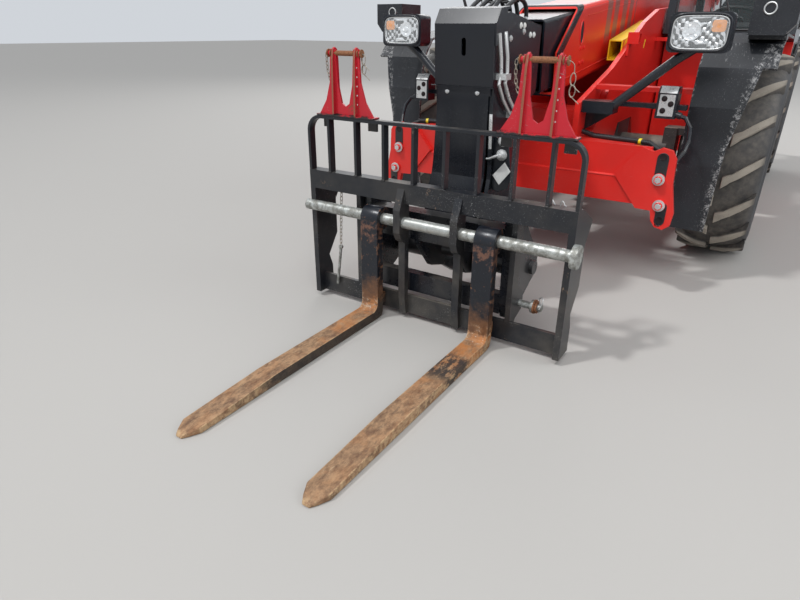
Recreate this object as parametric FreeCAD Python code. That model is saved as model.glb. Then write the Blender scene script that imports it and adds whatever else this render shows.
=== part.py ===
"""Telehandler with pallet forks on a quick-fit carriage, as separate named parts.

X points forward, towards the fork tips, Y to the machine's left and Z up.
The ground is z = 0 and the origin lies under the middle of the overall length.
The boom is down and retracted, the forks lie level and the wheels point ahead.
"""
import FreeCAD, Part
import math
import os

os.makedirs("parts", exist_ok=True)
V = FreeCAD.Vector

# Layout of the whole machine, in mm.
WHEELBASE = 2850.0
REACH = 2170.0                      # front axle to the carriage's front plane
FORK_FACE = 57.0                    # front of the fork's shank ahead of that plane
FORK_L = 1200.0
NOSE = REACH + FORK_FACE + FORK_L   # front axle to fork tip
TAIL = 800.0                        # rear axle to the back of the tow hitch
OVERALL = NOSE + WHEELBASE + TAIL
AXLE_F = OVERALL / 2 - NOSE
AXLE_R = AXLE_F - WHEELBASE
PIN_CLEAR = 1.0                     # radial gap around every turning pin
MOVE_GAP = 6.0                      # least gap between parts that move past each other

# Wheels and axles.
TRACK_HALF = 1048.0
TYRE_R = 628.0
TYRE_W = 420.0
LUG_H = 34.0
LUG_COUNT = 16                      # on each side of the tread
RIM_R = 305.0
KINGPIN_Y = TRACK_HALF - 275.0
SPINDLE_R = 55.0

# Boom, in its own frame: s runs forward from the pivot, n is square to it.
CARR = AXLE_F + REACH
BOOM_X = AXLE_R - 260.0
BOOM_Z = 1690.0
HEAD_Z = 1224.4                     # the boom's axis where the head begins
HEAD_X = CARR - 850.0
BOOM_RUN = HEAD_X - BOOM_X
BOOM_DROP = math.degrees(math.atan2(BOOM_Z - HEAD_Z, BOOM_RUN))
SLOPE = math.hypot(BOOM_RUN, BOOM_Z - HEAD_Z) / BOOM_RUN
MOUTH_X = CARR - 1065.0              # lower front corner of the outer section
OUTER_L = (MOUTH_X - BOOM_X) * SLOPE
OUTER_H = 420.0
OUTER_W = 340.0
OUTER_T = 10.0
PAD_GAP = 15.0
PAD_PLAY = 0.8
STAGE_T = 10.0
MID_H = OUTER_H - 2 * (OUTER_T + PAD_GAP)
MID_W = OUTER_W - 2 * (OUTER_T + PAD_GAP)
INNER_H = MID_H - 2 * (STAGE_T + PAD_GAP)
INNER_W = MID_W - 2 * (STAGE_T + PAD_GAP)
MID_OUT = 142.0                     # length of middle section seen at rest
BOOM_PIN_R = 45.0

# Boom head and carriage, measured from the carriage's front plane.
HEAD_HALF = 150.0
HEAD_T = 20.0
TILT_X = CARR - 350.0
TILT_Z = 300.0
TILT_PIN_R = 36.0
RAM_TOP_X = CARR - 600.0
RAM_TOP_Z = 1220.0
EAR_X = CARR - 530.0
EAR_Z = 174.0

# Fork carriage.
CARR_HALF = 700.0
PLATE_T = 30.0
BEAM_Z0 = 618.0
BEAM_Z1 = 712.0
RACK_Z = 984.0
BAR_PITCH = 162.0
SHAFT_R = 27.5
SHAFT_Z = 526.0
FORK_W = 100.0
FORK_T = 50.0
FORK_Y = {"left": 325.0, "right": -290.0}

# Lift ram pins.
LIFT_X = AXLE_R + 198.5
LIFT_Z = 960.0
LIFT_S = OUTER_L * 0.4955           # along the boom from its pivot
LIFT_N = -275.0
LIFT_R = 75.0

# Chassis.
WEB_Y = 300.0                       # inner face of the two long plates
WEB_T = 30.0
BELLY = 450.0
SIDE_Y = 1150.0
WELL_F = AXLE_F - 860.0             # front end of the room between the wheels
WELL_R = AXLE_R + 820.0
FRONT = AXLE_F + 1128.0             # front face of the crossbeam's box
BACK = AXLE_R - TAIL + 130.0        # back of the counterweight
BEAM_TOP = 815.0
BEAM_LOW = 510.0

# Cab, on the left, and hood, on the right.
CAB_Y0 = 345.0
CAB_Y1 = 1200.0
CAB_FLOOR = BELLY + 80.0
CAB_TOP = 2480.0
CAB_HEAD = CAB_TOP - 80.0           # where the pillars meet the roof
CAB_SILL = 1290.0                   # below it the cab is narrower, clear of the wheels
CAB_F = WELL_F - 11.5
CAB_R = WELL_R + 13.5
PANEL = 45.0
TANK_X = WELL_F - 256.5             # back of the fuel tank
HOOD_Z = 1495.0
HOOD_SPLIT = 980.0
HOOD_Y0 = 362.0                     # the hood's inner wall
HOOD_Y1 = 1200.0
HOOD_HINGE_Y = -HOOD_Y0 + 12.0
HOOD_HINGE_Z = HOOD_Z - 40.0
DOOR_HINGE_X = CAB_R + 57.0
DOOR_HINGE_Y = CAB_Y1 + 11.0


def box(x0, x1, y0, y1, z0, z1):
    """Block between two corners, given as low and high values."""
    return Part.makeBox(x1 - x0, y1 - y0, z1 - z0, V(x0, y0, z0))


def plate_y(points, y0, y1):
    """Plate of an (x, z) outline standing across Y."""
    loop = [V(x, y0, z) for x, z in points]
    return Part.Face(Part.makePolygon(loop + loop[:1])).extrude(V(0, y1 - y0, 0))


def plate_x(points, x0, x1):
    """Plate of a (y, z) outline standing across X."""
    loop = [V(x0, y, z) for y, z in points]
    return Part.Face(Part.makePolygon(loop + loop[:1])).extrude(V(x1 - x0, 0, 0))


def plate_z(points, z0, z1):
    """Plate of an (x, y) outline lying flat."""
    loop = [V(x, y, z0) for x, y in points]
    return Part.Face(Part.makePolygon(loop + loop[:1])).extrude(V(0, 0, z1 - z0))


def rod(start, end, radius):
    """Round bar between two points."""
    a = V(*start)
    b = V(*end)
    return Part.makeCylinder(radius, (b - a).Length, a, b - a)


def across(x, z, y0, y1, radius):
    """Round bar along Y."""
    return rod((x, y0, z), (x, y1, z), radius)


def fuse(shapes):
    """One solid out of several that touch."""
    first = shapes[0]
    return first.multiFuse(shapes[1:]).removeSplitter() if len(shapes) > 1 else first


def cut(shape, tools):
    """Shape with every tool taken away."""
    for tool in tools:
        shape = shape.cut(tool)
    return shape


def flip(shape):
    """The same shape on the machine's other side."""
    return shape.mirror(V(0, 0, 0), V(0, 1, 0))


def both(shape):
    """Shape and its mirror image on the other side."""
    return [shape, flip(shape)]


def moved(points, dx, dz=0.0):
    """Outline shifted by dx and dz."""
    return [(x + dx, z + dz) for x, z in points]


def place(angle, x, y, z):
    """Placement that turns about Y by angle, then moves to a point."""
    return FreeCAD.Placement(V(x, y, z), FreeCAD.Rotation(V(0, 1, 0), angle))


def on_boom(shape):
    """Shape from the boom's own frame to the machine's."""
    shape.Placement = place(BOOM_DROP, BOOM_X, 0, BOOM_Z).multiply(shape.Placement)
    return shape


def boom_point(s, n):
    """Point of the boom's own frame in the machine's, as (x, z)."""
    a = math.radians(BOOM_DROP)
    return (BOOM_X + s * math.cos(a) + n * math.sin(a), BOOM_Z - s * math.sin(a) + n * math.cos(a))


def save(node, shape):
    """Writes one node."""
    shape.exportStep("parts/" + node + ".step")


def round_rect(y0, y1, z0, z1, radius, x0, x1):
    """Bar along X whose section is a rectangle with round corners."""
    bar = box(x0, x1, y0, y1, z0, z1)
    edges = [e for e in bar.Edges if abs(e.tangentAt(e.FirstParameter).x) > 0.99]
    return bar.makeFillet(radius, edges)


def section_tube(s0, s1, width, height, wall, radius):
    """Hollow boom section along s."""
    outer = round_rect(-width / 2, width / 2, -height / 2, height / 2, radius, s0, s1)
    inner = box(s0 - 1, s1 + 1, -width / 2 + wall, width / 2 - wall, -height / 2 + wall, height / 2 - wall)
    return outer.cut(inner)


def facet(points):
    """Flat face through points."""
    return Part.Face(Part.makePolygon(points + points[:1]))


def enclosed(faces):
    """Solid inside a closed skin of faces."""
    body = Part.Solid(Part.makeShell(faces))
    if body.Volume < 0:
        body.reverse()
    return body


def bent_bar(path, radius):
    """Eight-sided bar along a path."""
    points = [V(*point) for point in path]
    rings = []
    for index, point in enumerate(points):
        way = points[min(index + 1, len(points) - 1)] - points[max(index - 1, 0)]
        way.normalize()
        one = way.cross(V(1, 0, 1)).normalize()
        two = way.cross(one)
        angles = [math.radians(45 * corner) for corner in range(8)]
        rings.append([point + one * (radius * math.cos(a)) + two * (radius * math.sin(a)) for a in angles])
    faces = [facet(rings[0]), facet(rings[-1])]
    for low, high in zip(rings, rings[1:]):
        for i in range(8):
            j = (i + 1) % 8
            faces += [facet([low[i], low[j], high[j]]), facet([low[i], high[j], high[i]])]
    return enclosed(faces)


# Wheels. Each is built at the origin with its outer side towards +Y.


def tyre_shape():
    """Tyre of flat facets, with lugs that slant backward from the crown onto the shoulder."""
    base = TYRE_R - LUG_H
    half = TYRE_W / 2
    count = 28
    turn = 2 * math.pi / count
    seat = RIM_R / math.cos(turn / 2)
    profile = [
        (half - 55, seat), (half - 55, RIM_R + 28), (half, RIM_R + 130), (half - 42, base - 14),
        (-half + 42, base - 14), (-half, RIM_R + 130), (-half + 55, RIM_R + 28), (-half + 55, seat),
    ]
    rings = []
    for y, r in profile:
        rings.append([V(r * math.sin(turn * i), y, r * math.cos(turn * i)) for i in range(count)])
    faces = []
    for low, high in zip(rings, rings[1:] + rings[:1]):
        for i in range(count):
            j = (i + 1) % count
            faces.append(facet([low[i], low[j], high[j], high[i]]))
    body = enclosed(faces)
    lugs = []
    for side in (1, -1):
        for index in range(LUG_COUNT):
            foot = [(28, 14 * side), (-26, -2 * side), (-176, (half - 10) * side),
                (-122, (half - 10) * side)]
            lug = plate_z(foot, base - 70, TYRE_R + 30)
            top = [(-40, TYRE_R + 2), (260, TYRE_R - 31), (260, TYRE_R + 60), (-40, TYRE_R + 60)]
            lug = lug.cut(plate_x([(y * side, z) for y, z in top], -300, 100))
            lug.rotate(V(0, 0, 0), V(0, 1, 0), 360.0 / LUG_COUNT * (index + (0.25 if side > 0 else 0.75)))
            lugs.append(lug)
    return body.multiFuse(lugs)


def rim_shape():
    """Rim with flanges, disc and hub, bored for the spindle."""
    half = TYRE_W / 2 - 55
    outline = [
        (-half, RIM_R), (half, RIM_R), (half + 8, RIM_R + 22), (half + 18, RIM_R + 22),
        (half + 12, RIM_R - 14),
        (40, RIM_R - 30), (20, RIM_R - 60), (0, 215), (0, 150), (26, 138), (60, 120), (60, 0),
        (44, 0), (44, SPINDLE_R + PIN_CLEAR), (-140, SPINDLE_R + PIN_CLEAR), (-140, 130), (-20, 140),
        (-20, 215), (0, RIM_R - 60), (10, RIM_R - 36), (-half - 12, RIM_R - 14), (-half - 18, RIM_R + 22),
        (-half - 8, RIM_R + 22),
    ]
    loop = [V(0, y, r) for y, r in outline]
    return Part.Face(Part.makePolygon(loop + loop[:1])).revolve(V(0, 0, 0), V(0, 1, 0), 360)


def knuckle_shape(side):
    """Steering knuckle at a left wheel; its arm points backward (-1) or forward (1)."""
    corners = [math.radians(45 * index + 22.5) for index in range(8)]
    upright = plate_z([(62 * math.cos(a), KINGPIN_Y + 62 * math.sin(a)) for a in corners], AXLE_Z - 95,
        AXLE_Z + 95)
    pins = [Part.makeCylinder(30, 66, V(0, KINGPIN_Y, z), V(0, 0, 1)) for z in (AXLE_Z - 160, AXLE_Z + 94)]
    collar = across(0, AXLE_Z, KINGPIN_Y + 30, TRACK_HALF - 150, 86)
    spindle = across(0, AXLE_Z, TRACK_HALF - 151, TRACK_HALF + 40, SPINDLE_R)
    arm = box(min(190 * side, 50 * side), max(190 * side, 50 * side), KINGPIN_Y - 20, KINGPIN_Y + 20,
        AXLE_Z - 60, AXLE_Z - 30)
    return fuse([upright, collar, spindle, arm] + pins)


TYRE = tyre_shape()
AXLE_Z = -TYRE.BoundBox.ZMin        # the lugs' lowest points touch the ground
RIM = rim_shape()
CORNERS = [("front_left", AXLE_F, 1), ("front_right", AXLE_F, -1), ("rear_left", AXLE_R, 1),
    ("rear_right", AXLE_R, -1)]
for corner, axle_x, side in CORNERS:
    for node, shape in (("tyre_", TYRE), ("rim_", RIM)):
        wheel = shape.copy()
        if side < 0 and shape is RIM:
            wheel.rotate(V(0, 0, 0), V(0, 0, 1), 180)
        wheel.translate(V(axle_x, TRACK_HALF * side, AXLE_Z))
        save(node + corner, wheel)
    inward = -1 if axle_x == AXLE_F else 1
    steer = knuckle_shape(inward * side)
    if side < 0:
        steer.rotate(V(0, 0, 0), V(0, 0, 1), 180)
    steer.translate(V(axle_x, 0, 0))
    save("knuckle_" + corner, steer)


SADDLE_Z = 800.0                    # underside of the long plates above an axle
GEAR_X0 = (AXLE_F + AXLE_R) / 2 - 190  # gearbox between the axles
GEAR_X1 = GEAR_X0 + 380
SHAFT_R0 = 32.0


def axle_shape(x):
    """Axle beam with differential case, a yoke for each kingpin and its drive shaft."""
    parts = [across(x, AXLE_Z, -KINGPIN_Y + 130, KINGPIN_Y - 130, 85)]
    parts.append(across(x, AXLE_Z, -150, 150, 165))
    parts.append(rod((x - 230, 0, AXLE_Z), (x + 230, 0, AXLE_Z), 95))
    yoke = box(x - 72, x + 72, KINGPIN_Y - 160, KINGPIN_Y - 78, AXLE_Z - 150, AXLE_Z + 150)
    for z in (AXLE_Z + 105, AXLE_Z - 150):
        yoke = yoke.fuse(box(x - 55, x + 55, KINGPIN_Y - 100, KINGPIN_Y, z, z + 45))
        yoke = yoke.fuse(Part.makeCylinder(55, 45, V(x, KINGPIN_Y, z), V(0, 0, 1)))
    yoke = yoke.cut(Part.makeCylinder(30 + PIN_CLEAR, 400, V(x, KINGPIN_Y, AXLE_Z - 200), V(0, 0, 1)))
    parts += both(yoke)
    parts += both(box(x - 150, x + 150, WEB_Y - 60, WEB_Y + WEB_T, AXLE_Z, SADDLE_Z))
    inward = -1 if x == AXLE_F else 1
    gear = GEAR_X1 if x == AXLE_F else GEAR_X0
    parts.append(rod((x + 229 * inward, 0, AXLE_Z), (gear, 0, AXLE_Z), SHAFT_R0))
    for joint_x in (x + 260 * inward, gear - 60 * inward):
        parts.append(rod((joint_x - 26, 0, AXLE_Z), (joint_x + 26, 0, AXLE_Z), SHAFT_R0 + 22))
    return fuse(parts)


save("axle_front", axle_shape(AXLE_F))
save("axle_rear", axle_shape(AXLE_R))

# Chassis: two long plates with cross members, the front crossbeam and side platforms.
WEB = [
    (FRONT - 33, 1008), (FRONT - 611, 1159), (FRONT - 1288, 1422), (FRONT - 1661, 1511),
    (WELL_F - 551, 1560),
    (AXLE_R + 288, 1600), (BOOM_X + 230, BOOM_Z + 160), (BOOM_X + 90, BOOM_Z + 215),
    (BOOM_X - 90, BOOM_Z + 215),
    (BOOM_X - 220, BOOM_Z + 110), (BOOM_X - 260, 1400), (BOOM_X - 260, 560), (BOOM_X - 120, 480),
    (AXLE_R - 190, 480), (AXLE_R - 190, SADDLE_Z), (AXLE_R + 190, SADDLE_Z), (AXLE_R + 420, BELLY),
    (AXLE_F - 420, BELLY), (AXLE_F - 190, SADDLE_Z), (AXLE_F + 190, SADDLE_Z), (AXLE_F + 330, 520),
    (FRONT - 33, BEAM_LOW),
]
boom_pin = across(BOOM_X, BOOM_Z, -WEB_Y - WEB_T - 40, WEB_Y + WEB_T + 40, BOOM_PIN_R)
web = plate_y(WEB, WEB_Y, WEB_Y + WEB_T)
web = web.fuse(across(BOOM_X, BOOM_Z, OUTER_W / 2 + 24, WEB_Y + WEB_T + 25, 95)).cut(boom_pin)
frame = both(web) + [boom_pin]
CROSS = [
    # x from, x to, z from, z to
    (AXLE_R + 420, AXLE_F - 420, BELLY, BELLY + 25),
    (FRONT - 220, FRONT - 208, BEAM_TOP - 25, 945),
    (FRONT - 460, FRONT - 220, 933, 945),
    (BOOM_X - 260, BOOM_X - 235, 560, 1330),
    (WELL_R - 72, WELL_R - 42, BELLY + 25, 900),
    (WELL_F + 188, WELL_F + 218, BELLY + 25, 900),
    (AXLE_F - 190, AXLE_F + 190, SADDLE_Z, SADDLE_Z + 30),
    (AXLE_R - 190, LIFT_X - 160, SADDLE_Z, SADDLE_Z + 30),
    (FRONT - 358, FRONT - 34, BEAM_LOW + 2, BEAM_LOW + 30),
]
for x0, x1, z0, z1 in CROSS:
    member = box(x0, x1, -WEB_Y, WEB_Y, z0, z1)
    if z0 < AXLE_Z < z1 and x0 > AXLE_R:
        member = member.cut(rod((x0 - 1, 0, AXLE_Z), (x1 + 1, 0, AXLE_Z), SHAFT_R0 + 40))
    frame.append(member)
gearbox = plate_y([
    (GEAR_X0, BELLY + 25), (GEAR_X1, BELLY + 25), (GEAR_X1, AXLE_Z + 110), (GEAR_X1 - 70, AXLE_Z + 170),
    (GEAR_X0 + 90, AXLE_Z + 170), (GEAR_X0, AXLE_Z + 120)], -170, 170)
rims = [e for e in gearbox.Edges if abs(e.tangentAt(e.FirstParameter).y) < 0.01]
frame.append(gearbox.makeChamfer(24, rims))
lift_seat = box(LIFT_X - 160, LIFT_X + 190, -WEB_Y, WEB_Y, SADDLE_Z, SADDLE_Z + 25)
cheek = [(LIFT_X - 160, SADDLE_Z + 24), (LIFT_X - 90, LIFT_Z + 60), (LIFT_X + 90, LIFT_Z + 60),
    (LIFT_X + 190, SADDLE_Z + 24)]
lift_pin = across(LIFT_X, LIFT_Z, -150, 150, 40)
frame.append(fuse([lift_seat, lift_pin] + both(plate_y(cheek, 100, 130))))

# Front crossbeam with its waisted end plates, each with two bolts between slots.
LOBE = [
    (704, 817), (760, 800), (800, 822), (850, 812), (875, 770), (880, 640), (912, 490), (905, 425),
    (872, 398),
    (830, 408), (806, 440), (795, 492), (716, 495), (576, 666),
]
end_plate = plate_x(LOBE, FRONT, FRONT + 30)
for y, z in ((812, 752), (845, 450)):
    slot = box(FRONT - 60, FRONT + 60, y - 16, y + 16, z - 26, z + 26)
    slot = slot.fuse(rod((FRONT - 60, y, z - 26), (FRONT + 60, y, z - 26), 16))
    slot = slot.fuse(rod((FRONT - 60, y, z + 26), (FRONT + 60, y, z + 26), 16))
    end_plate = end_plate.cut(slot)
for y, z in ((810, 663), (835, 528)):
    end_plate = end_plate.fuse(rod((FRONT + 22, y, z), (FRONT + 42, y, z), 32))
    end_plate = end_plate.fuse(rod((FRONT + 22, y, z), (FRONT + 64, y, z), 20))
HOSE_R = 12.0
HOSE_Z = BEAM_TOP + HOSE_R + 0.3
HOSE = [
    # x, y, z along the beam's top and down behind the end plate
    (FRONT - 136, WEB_Y + WEB_T - 2, 846), (FRONT - 134, 400, HOSE_Z), (FRONT - 105, 520, HOSE_Z),
    (FRONT - 88, 640, HOSE_Z), (FRONT - 72, 715, HOSE_Z - 3), (FRONT - 48, 770, 796), (FRONT + 4, 790, 758),
]


beam_plate = box(FRONT - 33, FRONT, -745, 745, BEAM_LOW, BEAM_TOP)
fold = [(FRONT, BEAM_LOW), (FRONT + 14, BEAM_LOW + 2), (FRONT + 14, 648), (FRONT, 656)]
lower_face = plate_y(fold, -700, 700)
flanges = []
for z in (BEAM_LOW, BEAM_TOP - 25):
    flanges += both(box(FRONT - 258, FRONT - 33, WEB_Y + WEB_T, 640, z, z + 25))
beam = fuse([beam_plate, lower_face] + flanges + both(end_plate))
inboard = box(FRONT - 400, FRONT, -WEB_Y - WEB_T, WEB_Y + WEB_T, BEAM_TOP, 1000)
hoses = []
for side in (1, -1):
    hose = bent_bar([(x, y * side, z) for x, y, z in HOSE], HOSE_R)
    hoses.append(hose.cut(beam).cut(inboard))
save("front_crossbeam", Part.makeCompound([beam] + hoses))

# Counterweight, with the tow hitch standing out below its back.
weight = plate_y([
    (BOOM_X - 260, 520), (BACK + 60, 520), (BACK, 620), (BACK, 1230), (BACK + 90, 1370),
    (BOOM_X - 260, 1370)], -470, 470)
hitch_x = AXLE_R - TAIL
hitch = [box(hitch_x + 240, hitch_x + 400, -70, 70, 420, 519)]
for z in (420, 495):
    jaw = box(hitch_x + 60, hitch_x + 241, -70, 70, z, z + 20)
    hitch.append(jaw.fuse(Part.makeCylinder(60, 20, V(hitch_x + 60, 0, z), V(0, 0, 1))))
hitch = fuse(hitch).cut(Part.makeCylinder(16, 200, V(hitch_x + 60, 0, 400), V(0, 0, 1)))
save("counterweight", weight.fuse(box(hitch_x + 240, hitch_x + 400, -70, 70, 519, 560)).removeSplitter())
frame.append(hitch)

# Platforms between the wheels carry the cab and the engine.
platform = box(WELL_R, WELL_F, WEB_Y + WEB_T, SIDE_Y, BELLY + 30, BELLY + 80)
frame += both(platform)
step = box(WELL_F - 900, WELL_F - 420, SIDE_Y - 120, SIDE_Y + 60, 300, 330)
for x in (WELL_F - 900, WELL_F - 440):
    step = step.fuse(box(x, x + 20, SIDE_Y - 60, SIDE_Y - 20, 330, BELLY + 30))
frame.append(step)

# Rib between each long plate and the crossbeam, and a square socket standing on the left plate.
rib = plate_y([
    (FRONT - 480, 1010), (FRONT - 462, 1076), (FRONT - 446, 1080), (FRONT - 300, 900), (FRONT - 208, 858),
    (FRONT - 190, BEAM_TOP), (FRONT - 260, BEAM_TOP), (FRONT - 330, 850)],
    WEB_Y + WEB_T, WEB_Y + WEB_T + 42)
frame += both(rib)
socket_x = FRONT - 883
socket = box(socket_x - 34, socket_x + 34, WEB_Y + WEB_T, WEB_Y + WEB_T + 70, 1291, 1359)
socket = socket.cut(box(socket_x - 24, socket_x + 24, WEB_Y + WEB_T + 20, WEB_Y + WEB_T + 71, 1301, 1349))
socket_foot = box(socket_x - 30, socket_x + 30, WEB_Y + WEB_T, WEB_Y + WEB_T + 14, 1222, 1292)
frame.append(socket.fuse(socket_foot).removeSplitter())

# Rail that carries the hood's hinge.
rail = rod((WELL_R + 10, HOOD_HINGE_Y, HOOD_HINGE_Z), (WELL_F - 10, HOOD_HINGE_Y, HOOD_HINGE_Z), 11.2)
for x in (WELL_R + 10, WELL_F - 40):
    rail = rail.fuse(box(x, x + 30, HOOD_HINGE_Y, -WEB_Y - WEB_T, HOOD_HINGE_Z - 8, HOOD_HINGE_Z + 8))
frame.append(rail)

# Engine, its side panel and the fuel tank, on the right.
save("engine_block", box(WELL_R + 88, TANK_X - 55, -960, -420, BELLY + 80, 1180))
SIDE_X0 = WELL_R + 10
SIDE_X1 = TANK_X - 5
SIDE_TOP = HOOD_SPLIT - MOVE_GAP
side_panel = box(SIDE_X0, SIDE_X1, -1190, -1150, BELLY + 80, SIDE_TOP)
LOUVRES = 7
LOUVRE_PITCH = (SIDE_X1 - SIDE_X0 - 170) / LOUVRES
for index in range(LOUVRES):
    x = SIDE_X0 + 100 + index * LOUVRE_PITCH
    side_panel = side_panel.cut(box(x, x + LOUVRE_PITCH * 0.6, -1250, -1100, BELLY + 150, HOOD_SPLIT - 90))
front_panel = box(SIDE_X1 - 30, SIDE_X1, -1150, -CAB_Y0, BELLY + 80, SIDE_TOP)
rear_panel = box(SIDE_X0, SIDE_X0 + 30, -1150, -CAB_Y0, BELLY + 80, SIDE_TOP)
# The fixed inner wall reaches up to just below the hood's short inner lip.
HOOD_LIP = HOOD_Z - 115
inner_wall = plate_y([
    (SIDE_X0 + 1, BELLY + 80), (SIDE_X1 - 1, BELLY + 80), (SIDE_X1 - 1, SIDE_TOP + 11),
    (WELL_F - 56, SIDE_TOP + 11),
    (WELL_F - 56, HOOD_LIP - 10), (WELL_R + 56, HOOD_LIP - 10), (WELL_R + 56, SIDE_TOP),
    (SIDE_X0 + 1, SIDE_TOP)],
    -HOOD_Y0 - 20, -HOOD_Y0)
save("engine_side", fuse([side_panel, front_panel, rear_panel, inner_wall]))
tank = box(TANK_X, WELL_F - 6, -1190, -CAB_Y0, BELLY + 80, SIDE_TOP)
tank = tank.makeFillet(60, [e for e in tank.Edges if abs(e.tangentAt(e.FirstParameter).z) > 0.99])
save("fuel_tank", tank)

# Hood, hollow and open below, hinged along its inner top edge, with ends that reach over the wheels.
HOOD_END = 1352.0
HOOD_OUT = [
    (-HOOD_Y0, HOOD_SPLIT), (-HOOD_Y0, HOOD_Z - 28), (-HOOD_Y0 - 40, HOOD_Z), (-HOOD_Y1 + 140, HOOD_Z - 20),
    (-HOOD_Y1 + 40, HOOD_Z - 80), (-HOOD_Y1, HOOD_Z - 250), (-HOOD_Y1, HOOD_SPLIT)]
HOOD_REACH = [
    (-HOOD_Y0, HOOD_END), (-HOOD_Y0, HOOD_Z - 28), (-HOOD_Y0 - 40, HOOD_Z), (-HOOD_Y1 + 140, HOOD_Z - 20),
    (-HOOD_Y1 + 40, HOOD_Z - 80), (-HOOD_Y1 + 25, HOOD_END)]
HOOD_IN = [
    (-HOOD_Y0 - 40, HOOD_SPLIT - 10), (-HOOD_Y0 - 40, HOOD_Z - 62), (-HOOD_Y0 - 66, HOOD_Z - 40),
    (-HOOD_Y1 + 150, HOOD_Z - 58), (-HOOD_Y1 + 75, HOOD_Z - 100),
    (-HOOD_Y1 + 40, HOOD_Z - 250), (-HOOD_Y1 + 40, HOOD_SPLIT - 10)]
hood = plate_x(HOOD_OUT, WELL_R + 8, WELL_F - 8).fuse(plate_x(HOOD_REACH, WELL_R - 121, WELL_F + 188))
hood = hood.cut(plate_x(HOOD_IN, WELL_R + 48, WELL_F - 48))
hood = hood.cut(box(WELL_R + 48, WELL_F - 48, -HOOD_Y0 - 41, -HOOD_Y0 + 1, HOOD_SPLIT - 10, HOOD_LIP))
save("engine_hood", hood.removeSplitter())

# Cab: tub, pillars, roof, windows, door and what is inside.
CAB_SIDE = [
    (CAB_F, CAB_FLOOR), (CAB_F, CAB_SILL), (CAB_F + 160, CAB_SILL + 60),
    (CAB_F - 30, CAB_HEAD), (CAB_R + 55, CAB_HEAD),
    (CAB_R - 75, CAB_SILL + 60), (CAB_R, CAB_SILL), (CAB_R, CAB_FLOOR)]


def inset(points, gap):
    """Outline moved inwards by gap, or outwards where gap is negative."""
    loop = [V(x, 0, z) for x, z in points]
    wire = Part.makePolygon(loop + loop[:1])
    shifted = wire.makeOffset2D(-gap, 2)
    if (Part.Face(shifted).Area > Part.Face(wire).Area) == (gap > 0):
        shifted = wire.makeOffset2D(gap, 2)
    return [(v.X, v.Z) for v in shifted.OrderedVertexes]


cab_shell = plate_y(CAB_SIDE, CAB_Y0, CAB_Y1)
cab_void = plate_y(inset(CAB_SIDE, PANEL), CAB_Y0 + PANEL, CAB_Y1 + 10)
shell = cab_shell.cut(cab_void)
BELT = CAB_SILL + 10
DOOR_Z0 = CAB_FLOOR + 90
DOOR_Z1 = CAB_HEAD - 60
DOOR = [
    (CAB_F - 75, DOOR_Z0), (CAB_F - 75, CAB_SILL + 28), (CAB_F + 40, CAB_SILL + 102),
    (CAB_F - 118, DOOR_Z1),
    (CAB_R + 105, DOOR_Z1), (CAB_R + 60, CAB_SILL + 80), (CAB_R + 60, DOOR_Z0)]
side_wall = plate_y(CAB_SIDE, CAB_Y1 - PANEL, CAB_Y1)
side_wall = side_wall.cut(plate_y(inset(DOOR, -MOVE_GAP), CAB_Y1 - PANEL - 5, CAB_Y1 + 5))
shell = shell.fuse(side_wall).removeSplitter()
HINGE_L = 90.0
for z in (DOOR_Z0 + 140, DOOR_Z1 - 220):
    shell = shell.fuse(rod((DOOR_HINGE_X, DOOR_HINGE_Y, z), (DOOR_HINGE_X, DOOR_HINGE_Y, z + HINGE_L),
        10.6))
    shell = shell.fuse(box(DOOR_HINGE_X - 26, DOOR_HINGE_X - 3, CAB_Y1 - 1, DOOR_HINGE_Y + 6, z,
        z + HINGE_L))


def between(z0, z1):
    """Everything between two heights around the cab."""
    return box(CAB_R - 600, CAB_F + 800, 0, 1500, z0, z1)


tub = shell.common(between(0, BELT))
upper = shell.common(between(BELT, 3000))
PILLAR = 60.0
front_open = box(CAB_F - 140, CAB_F + 260, CAB_Y0 + PILLAR, CAB_Y1 - PILLAR, BELT + 70, CAB_HEAD - 70)
rear_open = box(CAB_R - 195, CAB_R + 205, CAB_Y0 + PILLAR, CAB_Y1 - PILLAR, BELT + 90, CAB_HEAD - 70)
side_open = plate_y(inset(CAB_SIDE, 75), CAB_Y0 - 5,
    CAB_Y0 + PANEL + 5).common(between(BELT + 60, CAB_HEAD - 70))
upper = cut(upper, [front_open, rear_open, side_open])
save("cab_tub", tub)
save("cab_frame", upper.removeSplitter())
roof = plate_y([
    (CAB_F + 20, CAB_HEAD), (CAB_F, CAB_TOP - 25), (CAB_F - 90, CAB_TOP),
    (CAB_R + 115, CAB_TOP), (CAB_R + 25, CAB_TOP - 25),
    (CAB_R + 15, CAB_HEAD)], CAB_Y0 - 10, CAB_Y1 + 10)
save("cab_roof", roof)
end_panes = plate_y(CAB_SIDE, CAB_Y0 + PILLAR, CAB_Y1 - PILLAR)
end_panes = end_panes.cut(plate_y(inset(CAB_SIDE, 12), CAB_Y0, CAB_Y1))
side_pane = plate_y(inset(CAB_SIDE, 76), CAB_Y0 + 6, CAB_Y0 + 16).common(between(BELT + 61, CAB_HEAD - 71))
save("cab_glass", Part.makeCompound([end_panes.common(front_open), end_panes.common(rear_open), side_pane]))
door = plate_y(DOOR, CAB_Y1 - PANEL, CAB_Y1)
window = plate_y(inset(DOOR, 70), CAB_Y1 - PANEL - 5, CAB_Y1 + 5)
upper_window = window.common(between(CAB_SILL + 100, DOOR_Z1 - 60))
lower_window = window.common(between(DOOR_Z0 + 80, CAB_SILL))
save("cab_door", cut(door, [upper_window, lower_window]))
pane = window.common(box(CAB_R - 600, CAB_F + 800, CAB_Y1 - 20, CAB_Y1 - 10, 0, 3000))
save("cab_door_glass", Part.makeCompound([pane.common(upper_window), pane.common(lower_window)]))
SEAT_L = (CAB_F - CAB_R) * 0.4
SEAT_X = CAB_R + (CAB_F - CAB_R) * 0.23
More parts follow.
